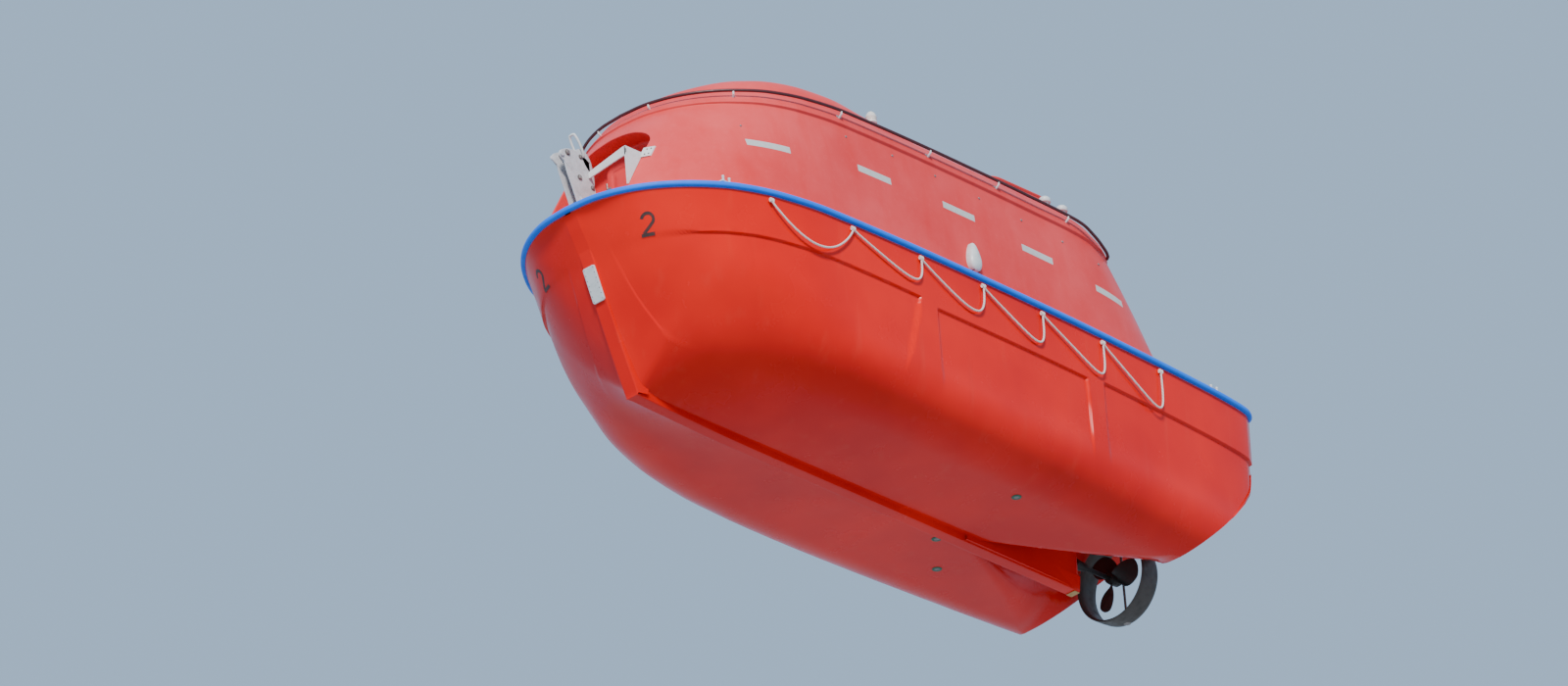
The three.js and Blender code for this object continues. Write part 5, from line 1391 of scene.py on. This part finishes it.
def jaw_plate(middle_y, aft):
    """A plate with one hole: the outline and the eye have the same count, so faces run between them."""
    jaw, eye = rounded_outline(HOOK_JAW, 72, 5), rounded_outline(JAW_EYE, 72, 3)
    start = int(np.argmin(((jaw - eye[0]) ** 2).sum(1)))
    jaw = np.roll(jaw, -start, 0)
    shoulder = JAW_HALF - JAW_EDGE
    steps = [(0.0, -shoulder), (0.0, shoulder), (0.10, JAW_HALF), (0.5, JAW_HALF), (0.90, JAW_HALF),
             (1.0, shoulder), (1.0, -shoulder), (0.90, -JAW_HALF), (0.5, -JAW_HALF), (0.10, -JAW_HALF)]
    rows = [side_on(jaw + (eye - jaw) * share, x, middle_y, aft) for share, x in steps]
    return grid(np.array(rows), wrap_u=True, wrap_v=True)


def suspension_link(middle_y, aft):
    """An oblong ring of round bar: two straights and two bends, leaning outwards from the jaw."""
    a = np.linspace(0, 2 * np.pi, 72, endpoint=False)
    x = 0.037 * np.sign(np.cos(a)) * np.abs(np.cos(a)) ** 0.8
    w = 0.072 * np.clip(1.25 * np.sin(a), -1, 1) + 0.026 * np.sin(a)
    lean = math.radians(29) * aft
    route = np.column_stack([x, -w * math.sin(lean), w * math.cos(lean)]) + [0, middle_y - aft * 0.015, 1.452]
    return swept(route, 0.010, 12, closed=True, up=(0, math.cos(lean), math.sin(lean)))


print("a jaw:", len(jaw_plate(0, 1)[1]), "faces")

# %% Both hooks
for name, middle_y, aft in (("fore", -3.225, 1), ("aft", 2.990, -1)):
    steel = cheek_plates(middle_y, aft) + foot_and_ribs(middle_y, aft) + nose_bosses(middle_y, aft)
    pins = pins_and_bolts(middle_y, aft)
    piece(f"{name}_hook_plates", steel, HOOK_GREY, replaces=[f"{name}_hook_post"],
          crease=32)
    piece(f"{name}_hook_pins", pins, STEEL_BARE, crease=32)
    piece(f"{name}_jaw", jaw_plate(middle_y, aft), HOOK_GREY,
          replaces=[f"{name}_hook_jaw"], crease=40)
    piece(f"{name}_oblong_link", suspension_link(middle_y, aft), PAINT_WHITE,
          replaces=[f"{name}_link"])

# %% The stay beside the fore hook
STAY_BAR = [(47, 1167), (400, 1204), (452, 1204), (452, 1286), (425, 1286), (47, 1222)]
GUSSET_X, GUSSET_THICK, PAD_LIFT = 0.452, 0.012, 0.013


def stay():
    """A flat bar in side view from the front, the gusset that tapers down the recess's edge, and its pad."""
    flat = anticlockwise(rounded_outline(STAY_BAR, 80, 1))
    made = [pressed(flat, 0.012, 0.002, (0, -3.173, 0))]
    z = np.linspace(0.952, 1.286, 30)
    back = front_y(np.full_like(z, 0.447), z) - 0.001
    front = np.minimum(-3.185 + 0 * z, back - 0.006)
    y = front + (back - front) * np.linspace(0, 1, 6)[:, None]
    face = np.dstack([np.full_like(y, GUSSET_X), y, z + 0 * y])
    other = face - [GUSSET_THICK, 0, 0]
    made += [grid(face), grid(other[::-1]), grid(np.stack([other[0], face[0]])),
             grid(np.stack([face[:, -1], other[:, -1]])), grid(np.stack([face[:, 0], other[:, 0]]))]
    u, v = np.meshgrid(np.linspace(0.441, 0.520, 10), np.linspace(1.238, 1.344, 12))
    pad = np.dstack([u, front_y(u, v) - PAD_LIFT, v])
    rim = np.concatenate([pad[0], pad[1:, -1], pad[-1, -2::-1], pad[-2:0:-1, 0]])
    return made + [grid(pad), grid(np.stack([rim, rim + [0, 0.0125, 0]]), wrap_v=True)]


piece("stay_bracket", stay(), PAINT_WHITE, replaces=["hook_stay"], crease=30)
x, z = np.array([(0.475, 1.262), (0.475, 1.318), (0.503, 1.262), (0.503, 1.318)]).T
stay_bolts = heads(np.column_stack([x, front_y(x, z) - PAD_LIFT, z]), (0.35, -0.75, 0.55), 0.007, 0.006)
piece("stay_bolts", stay_bolts, STEEL_BARE, crease=30)

# %% [markdown]
# ## Propeller and steering nozzle
# The nozzle is a turned ring with the section of a foil. It swings on an upright stock that comes down
# through the counter. It could be bent from a plate, but a turned foil closes on itself without a seam. The
# three blades are twisted plates: each station is a thin oval, set at the pitch of its radius.

# %% The nozzle
NOZZLE_Z, STOCK_Y, SADDLE_Y = -0.440, 2.785, 2.760
NOZZLE_AT = np.array([0.0, 2.720, NOZZLE_Z])
FOIL = [(0.3400, -0.0970), (0.3455, -0.1000), (0.3495, -0.0940), (0.3500, -0.0700), (0.3480, 0.0000),
        (0.3430, 0.0700), (0.3370, 0.0960), (0.3340, 0.1000), (0.3300, 0.0990), (0.3280, 0.0960),
        (0.3250, 0.0500), (0.3225, 0.0000), (0.3240, -0.0500), (0.3320, -0.0880)]
STOCK_NUT = [(0, 0), (0.030, 0), (0.030, 0.004), (0.018, 0.008), (0, 0.009)]

ring = turned(FOIL, NOZZLE_AT, (0, 1, 0), 128, ring=True)
saddle = pressed(round_rect(0.060, 0.052, 0.012), 0.022, 0.003, (0, SADDLE_Y, NOZZLE_Z + 0.341), *FLAT)
piece("nozzle_ring", [ring, saddle], NOZZLE_BROWN, "nozzle_body", replaces=["nozzle"],
      crease=35)
stock = [bar((0, STOCK_Y, NOZZLE_Z + 0.330), (0, STOCK_Y, 0.140), 0.020, 20),
         bar((0, STOCK_Y, NOZZLE_Z - 0.334), (0, STOCK_Y, NOZZLE_Z + 0.334), 0.0105),
         turned(STOCK_NUT, (0, STOCK_Y, NOZZLE_Z - 0.340), (0, 0, -1), 24)]
piece("nozzle_stock", stock, STEEL_BARE, "nozzle_body", crease=35)
spots = [(x, SADDLE_Y + d, NOZZLE_Z + 0.363) for x in (0.042, -0.042) for d in (-0.034, 0.038)]
piece("nozzle_bolts", heads(spots, (0, 0, 1), 0.008, 0.007), STEEL_BARE, "nozzle_body",
      crease=30)

# %% The propeller
SHAFT_Z, PROP_Y, PROP_R, HUB_R, PITCH = -0.430, 2.665, 0.272, 0.034, 0.300
HUB = [(0.0, -0.060), (0.040, -0.060), (0.0455, -0.040), (0.048, 0.0), (0.0465, 0.050), (0.040, 0.056),
       (0.036, 0.057), (0.034, 0.068), (0.024, 0.082), (0.012, 0.089), (0.0, 0.0905)]


def blade(angle, count=40, around=28):
    """One blade: at each radius an oval section whose chord widens like a sine and is rounded off at the tip,
    turned to the pitch of its radius; then the whole blade is turned about the shaft."""
    t = np.linspace(0, 1, count)[:, None]
    radius = HUB_R + (PROP_R - 0.001 - HUB_R) * t
    tip = np.sqrt(np.clip(1.0001 - np.clip((t - 0.86) / 0.14, 0, 1) ** 2, 0.0, 1))
    chord = (0.095 * np.sin(np.pi * np.minimum(0.985, 0.2 + 0.70 * t) ** 1.15) ** 0.6 + 0.006) * tip
    pitch = np.arctan2(PITCH, 2 * np.pi * radius)
    thick = (0.0095 - 0.0065 * t) * np.clip((1 - t) * 12, 0.05, 1)
    a = np.linspace(0, 2 * np.pi, around, endpoint=False)[None, :]
    u, w = chord * np.cos(a) - 0.018 * t**2, thick * np.sin(a)
    along = u * np.sin(pitch) + w * np.cos(pitch)
    across = u * np.cos(pitch) - w * np.sin(pitch)
    c, s = math.cos(angle), math.sin(angle)
    rows = np.dstack([across * c + radius * s, along + PROP_Y, radius * c - across * s + SHAFT_Z])
    return grid(np.concatenate([rows, rows[-1:] * 0 + rows[-1].mean(0)]), wrap_v=True)


hub = turned(HUB, (0, PROP_Y, SHAFT_Z), (0, 1, 0))
shaft = bar((0, 1.12, SHAFT_Z), (0, PROP_Y - 0.05, SHAFT_Z), 0.020, 24)
blades = [blade(math.pi / 2 + 2 * math.pi * k / 3) for k in range(3)]
piece("propeller_blades", [hub, shaft] + blades, BRONZE_DARK, "propeller_body",
      replaces=["propeller"], crease=50)

# %% The shaft's tube
TUBE = [(0.024, 0.0), (0.046, 0.0), (0.0465, 0.006), (0.043, 0.030), (0.036, 0.112), (0.0335, 0.126),
        (0.030, 0.129), (0.024, 0.129)]
tube = turned(TUBE, (0, 2.201, SHAFT_Z), (0, 1, 0), 40)
piece("shaft_tube", tube, BRONZE_DARK, replaces=["stern_tube"], crease=35)

# %% [markdown]
# ## Vent hoods and roof fittings
# A pear-shaped hood stands on each side of the canopy, its fat end down. It could be a squashed ball, but it
# has a flat lip, so it is a stack of shrinking outlines that stand on the canopy's own surface. The light and
# the two caps on the roof are turned.

# %% The vent hoods
HOOD = {"y": -0.070, "z": 1.045, "half": 0.062, "swell": 0.026, "tall": 0.132, "out": 0.074}


def hood(side, count=64):
    """A blister: its outline is a circle whose width swells downwards, and it shrinks towards its top by a
    quarter circle. Every point stands on the canopy, by a share of the hood's height."""
    a = np.linspace(0, 2 * np.pi, count, endpoint=False)
    crown = np.linspace(0.12, np.pi / 2, 14)
    share = np.concatenate([[1.0, 1.0, 1.0, 0.985], 0.985 * np.cos(crown)])[:, None]
    lift = np.concatenate([[-0.02, 0.05, 0.30, 0.42], 0.42 + 0.58 * np.sin(crown)])[:, None]
    y = HOOD["y"] + share * (HOOD["half"] - HOOD["swell"] * np.sin(a)) * np.cos(a)
    z = HOOD["z"] + share * HOOD["tall"] * np.sin(a) - 0.012 * (1 - share)
    return grid(np.dstack([side * (plan_x(y, z) + HOOD["out"] * lift), y, z]), wrap_v=True)


def hood_bars(side):
    """The mouth under the hood: three thin bars across its lower lip."""
    z = HOOD["z"] - HOOD["tall"] * 0.93
    made = []
    for y in HOOD["y"] + 0.030 * np.array([-1, 0, 1]):
        x = float(plan_x(y, z))
        made.append(bar((side * (x + 0.006), y, z - 0.003), (side * (x + 0.040), y, z - 0.003), 0.003, 8))
    return made


for side, name in SIDES:
    piece(f"hood_{name}", hood(side), PLATE_GREY, replaces=[f"vent_hood_{name}"],
          crease=50)
    piece(f"hood_bars_{name}", hood_bars(side), RUBBER_BLACK)

# %% The light and the caps on the roof
def ribbed(radius, low, high, count):
    """A profile with fine rings: the radius swings in and out while the height runs on."""
    h = np.linspace(low, high, 4 * count + 1)
    return [(radius - 0.0025 * (1 - math.cos(math.pi * k / 2)) / 2, v) for k, v in enumerate(h)]


LIGHT_AT = (0.760, -0.640, 2.050)
LIGHT_STAND = [(0, -0.040), (0.058, -0.040), (0.060, -0.036), (0.060, 0.018), (0.056, 0.022), (0.030, 0.028),
               (0.029, 0.060), (0.029, 0.172), (0.034, 0.180), (0.045, 0.186), (0.0455, 0.196), (0.0, 0.197)]
LIGHT_LENS = [(0.0, 0.190), (0.044, 0.192), *ribbed(0.045, 0.198, 0.236, 4), (0.041, 0.252), (0.033, 0.270),
              (0.020, 0.284), (0.008, 0.289), (0, 0.2898)]
CAP = [(0, -0.060), (0.030, -0.060), (0.030, 0.058), (0.032, 0.064), (0.046, 0.067), (0.048, 0.070),
       (0.048, 0.094), (0.0465, 0.099), (0.040, 0.108), (0.030, 0.117), (0.016, 0.1225), (0, 0.1238)]
CAPS_AT = {"fore": (0.900, 1.200, 2.030), "aft": (0.890, 1.410, 2.025)}

stand = turned(LIGHT_STAND, LIGHT_AT, (0, 0, 1), 40)
piece("light_stand", stand, PAINT_WHITE, replaces=["roof_light"], crease=40)
piece("light_lens", turned(LIGHT_LENS, LIGHT_AT, (0, 0, 1), 40), LENS_PALE, crease=40)
for name, at in CAPS_AT.items():
    piece(f"vent_cap_{name}", turned(CAP, at, (0, 0, 1), 40), PLATE_GREY,
          replaces=[f"roof_vent_{name}"], crease=40)

# %% [markdown]
# ## Stem plate and fairleads
# A plate with small screws covers the stem where it chafes, and four double posts stand on the deck's edge
# for the mooring lines. The plate leans with the stem; the posts are turned with a lipped head.

# %% The stem plate
PLATE_Z, PLATE_HALF, PLATE_TALL, PLATE_ROUND, PLATE_THICK = 0.270, 0.060, 0.145, 0.016, 0.016
SCREW_X, SCREW_UP = (-0.046, 0.046), (-0.128, -0.085, -0.042, 0.0, 0.042, 0.085, 0.128)
plate_run = float(STEM_Y(PLATE_Z - PLATE_TALL) - STEM_Y(PLATE_Z + PLATE_TALL))
plate_tilt = math.atan2(plate_run, 2 * PLATE_TALL)
plate_up = np.array([0, -math.sin(plate_tilt), math.cos(plate_tilt)])
plate_out = np.array([0, -math.cos(plate_tilt), -math.sin(plate_tilt)])
plate_at = np.array([0, float(STEM_Y(PLATE_Z)), PLATE_Z])
plate_outline = round_rect(PLATE_HALF, PLATE_TALL, PLATE_ROUND)
stem_cover = pressed(plate_outline, PLATE_THICK, 0.003, plate_at - plate_out * 0.0005, (1, 0, 0), plate_up)
piece("stem_cover", stem_cover, PLATE_GREY, replaces=["stem_plate"], crease=35)
screws = [plate_at + [x, 0, 0] + plate_up * h + plate_out * 0.0155 for x in SCREW_X for h in SCREW_UP]
piece("stem_screws", heads(screws, plate_out, 0.0045, 0.0006, 10), STEEL_BARE, crease=30)

# %% The fairleads
POST = [(0, 0.010), (0.0118, 0.010), (0.0112, 0.016), (0.0098, 0.030), (0.0098, 0.048), (0.0118, 0.056),
        (0.0118, 0.0625), (0.0095, 0.0655), (0, 0.066)]


def fairlead(y, side):
    """A foot plate on the deck's edge with two turned posts, and the heads of its two bolts."""
    x = side * (float(gunwale(y)) - 0.026)
    foot = pressed(round_rect(0.024, 0.070, 0.010), 0.0115, 0.002, (x, y, DECK_TOP + 0.0005), *FLAT)
    posts = [turned(POST, (x, y + d, DECK_TOP), (0, 0, 1), 24) for d in (-0.034, 0.034)]
    bolts = heads([(x, y + d, DECK_TOP + 0.012) for d in (-0.058, 0.058)], (0, 0, 1), 0.006, 0.005)
    return [foot] + posts, bolts


for end, y in (("fore", -2.700), ("aft", 2.850)):
    for side, name in SIDES:
        body, bolts = fairlead(y, side)
        piece(f"lead_{end}_{name}", body, PLATE_GREY, replaces=[f"fairlead_{end}_{name}"],
              crease=40)
        piece(f"lead_bolts_{end}_{name}", bolts, STEEL_BARE, crease=30)

# %% [markdown]
# ## Tapes, numeral, bolts and through-hull fittings
# Thin things lie on the skins: each is a small grid whose points are set on the skin's own formula, then
# lifted by less than a millimetre. The numeral is one broad stroke, drawn as a line with a width.

# %% Reflective tapes
TAPE_LONG, TAPE_TALL = 0.37, 0.06
TAPES = [(-2.19, 1.37), (-1.10, 1.45), (-0.13, 1.46), (0.79, 1.40), (1.68, 1.35)]
SKIN_LIFT = 0.0008


def tape(y, z, side):
    """A strip on the canopy: a grid over y and z, whose half-breadth is the canopy's plus a small lift, and
    an edge that runs back into the skin."""
    v, w = np.meshgrid(y + TAPE_LONG * np.linspace(-0.5, 0.5, 25), z + TAPE_TALL * np.linspace(-0.5, 0.5, 5))
    face = np.dstack([side * (plan_x(v, w) + SKIN_LIFT), v, w])
    edge = np.concatenate([face[0], face[1:, -1], face[-1, -2::-1], face[-2:0:-1, 0]])
    return [grid(face), grid(np.stack([edge, edge - [side * 0.003, 0, 0]]), wrap_v=True)]


strips = [shape for y, z in TAPES for side in (1, -1) for shape in tape(y, z, side)]
piece("tapes", strips, TAPE_SILVER)

# %% The canopy's bolts
BOLT_Y = [-2.36, -1.36, -0.84, -0.35, 0.16, 0.66, 1.15, 1.61]
BOLT_Z = [1.54, 1.71, 1.72, 1.71, 1.69, 1.67, 1.65, 1.62]
for side, name in SIDES:
    spots = [(side * (float(plan_x(y, z)) - 0.001), y, z) for y, z in zip(BOLT_Y, BOLT_Z)]
    piece(f"canopy_bolts_{name}", heads(spots, (side, 0, 0.1), 0.010, 0.007, 12), STEEL_BARE,
          crease=30)

# %% The numeral on both bows
NUMERAL_Y, NUMERAL_Z, NUMERAL_TALL, NUMERAL_STROKE = -3.125, 0.56, 0.165, 0.026


def stroke(line):
    """A broad line as a grid of (u, v) pairs: half its width is stepped off square to it on either side."""
    ahead = np.gradient(line, axis=0)
    ahead /= np.linalg.norm(ahead, axis=1)[:, None]
    half = np.column_stack([-ahead[:, 1], ahead[:, 0]]) * NUMERAL_STROKE / 2
    return line + half * np.linspace(-1, 1, 5)[:, None, None]


def numeral(side):
    """A plain stencilled two: an arch that runs down into a slanting leg, a gap where the stencil's bridge
    was, and a foot. Its width is laid along the hull, so it spans less of y where the plan turns in."""
    a = np.linspace(np.pi * 0.95, -np.pi * 0.22, 26)
    wide, low = 0.30 * NUMERAL_TALL, -0.43 * NUMERAL_TALL
    arch_line = np.column_stack([wide * np.cos(a), (0.22 + 0.26 * np.sin(a)) * NUMERAL_TALL])
    leg = arch_line[-1] + ([-wide, low] - arch_line[-1]) * np.linspace(0, 1, 16)[1:, None]
    foot = np.column_stack([np.linspace(-wide - 0.004, wide, 12), np.full(12, low)])
    slope = float(hull_x(NUMERAL_Y + 0.05, NUMERAL_Z) - hull_x(NUMERAL_Y - 0.05, NUMERAL_Z)) / 0.1
    shorten = 1 / math.hypot(1, slope)
    made = []
    for line in (np.vstack([arch_line, leg])[:-2], foot):
        u, v = np.moveaxis(stroke(line), -1, 0)
        y, z = NUMERAL_Y + side * shorten * u - 0.35 * v, NUMERAL_Z + v
        made.append(grid(np.dstack([side * (hull_x(y, z) + SKIN_LIFT), y, z])))
    return made


for side, name in SIDES:
    piece(f"numeral_{name}", numeral(side), STENCIL_BLACK, closed=False)

# %% Through-hull fittings
FITTINGS = [(0.73, 0.72), (-0.13, 0.72), (-0.49, 1.11)]  # (x, y) on the bottom
RIM = [(0.022, -0.004), (0.040, -0.004), (0.040, 0.003), (0.034, 0.006), (0.022, 0.006)]
PLUG = [(0, 0.001), (0.023, 0.001), (0.023, 0.0045), (0.015, 0.0045), (0.012, 0.002), (0, 0.002)]


def skin_point(x, y):
    """A point of the hull's bottom at (x, y), and the way out of the skin there, from the section's slope."""
    xs, zs = section(y)
    before, here, after = np.interp([-abs(x) - 0.02, -abs(x), -abs(x) + 0.02], -xs[0], zs[0])
    outward = np.array([np.sign(x) * (before - after) / 0.04, 0, -1.0])
    return np.array([x, y, here]), outward / np.linalg.norm(outward)


spots = [skin_point(x, y) for x, y in FITTINGS]
rims = [turned(RIM, at, outward, 28, ring=True) for at, outward in spots]
plugs = [turned(PLUG, at, outward, 28) for at, outward in spots]
piece("skin_fitting_rims", rims, FITTING_GREEN, crease=35)
piece("skin_fitting_plugs", plugs, STEEL_BARE, crease=35)

# %% [markdown]
# ## Panes and engine
# Two nodes keep the frame's own mesh: the cupola's glazing, which is already the right band, and the engine,
# a plain block that the closed hull hides. A new mesh would add nothing, so they only get their finishes.

# %% Finishes for the pieces that keep their own mesh
for node, material in (("cupola_glazing", PANE), ("engine", ENGINE_GREY)):
    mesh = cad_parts[node].data
    mesh.materials.clear()
    mesh.materials.append(material)
    print(node, "is finished in", material.name)

# %% [markdown]
# ## Floor and light
# The boat is shown against a plain pale ground in soft daylight. A backdrop could be curved up behind it, but
# a wide flat floor just under the camera does the same for a view that looks up, and a pale sky fills the
# rest.

# %% The floor
FLOOR_HALF = 400.0
FLOOR_DROP = 0.6  # under the camera


def stage():
    """One large square under the camera, in a pale grey that varies softly."""
    level = EYE[2] - FLOOR_DROP
    corners = [(x * FLOOR_HALF, y * FLOOR_HALF, level) for x, y in ((-1, -1), (1, -1), (1, 1), (-1, 1))]
    floor = bpy.data.meshes.new("floor")
    floor.from_pydata(corners, [], [(0, 1, 2, 3)])
    made = bpy.data.objects.new("floor", floor)
    bpy.context.scene.collection.objects.link(made)
    f = Finish("floor_pale", roughness=0.8)
    f.colour(f.blend(f.spread(f.noise(0.02, 2.0), 0.3, 0.7), (0.42, 0.44, 0.46), (0.46, 0.48, 0.50)))
    floor.materials.append(f.made)
    print("floor at height", round(float(level), 2))


stage()

# %% The light
SKY_COLOUR, SKY_STRENGTH = (0.50, 0.71, 0.98, 1.0), 0.80
SUN_COLOUR, SUN_STRENGTH, SUN_WIDTH = (1.0, 0.96, 0.90), 4.3, 9.0
SUN_FROM = (0.55, -0.62, 0.56)


def light():
    """A pale sky all round, and one soft high sun off the port bow."""
    world = bpy.data.worlds.new("sky")
    bpy.context.scene.world = world
    world.use_nodes = True
    sky = world.node_tree.nodes["Background"]
    sky.inputs["Color"].default_value = SKY_COLOUR
    sky.inputs["Strength"].default_value = SKY_STRENGTH
    sun = bpy.data.lights.new("sun", "SUN")
    sun.energy = SUN_STRENGTH
    sun.angle = math.radians(SUN_WIDTH)
    sun.color = SUN_COLOUR
    made = bpy.data.objects.new("sun", sun)
    z = np.array(SUN_FROM) / np.linalg.norm(SUN_FROM)
    x = np.cross([0, 0, 1], z)
    x /= np.linalg.norm(x)
    made.matrix_world = placed(x, np.cross(z, x), z, (0, 0, 0))
    bpy.context.scene.collection.objects.link(made)
    print("sun from", np.round(z, 2))


light()
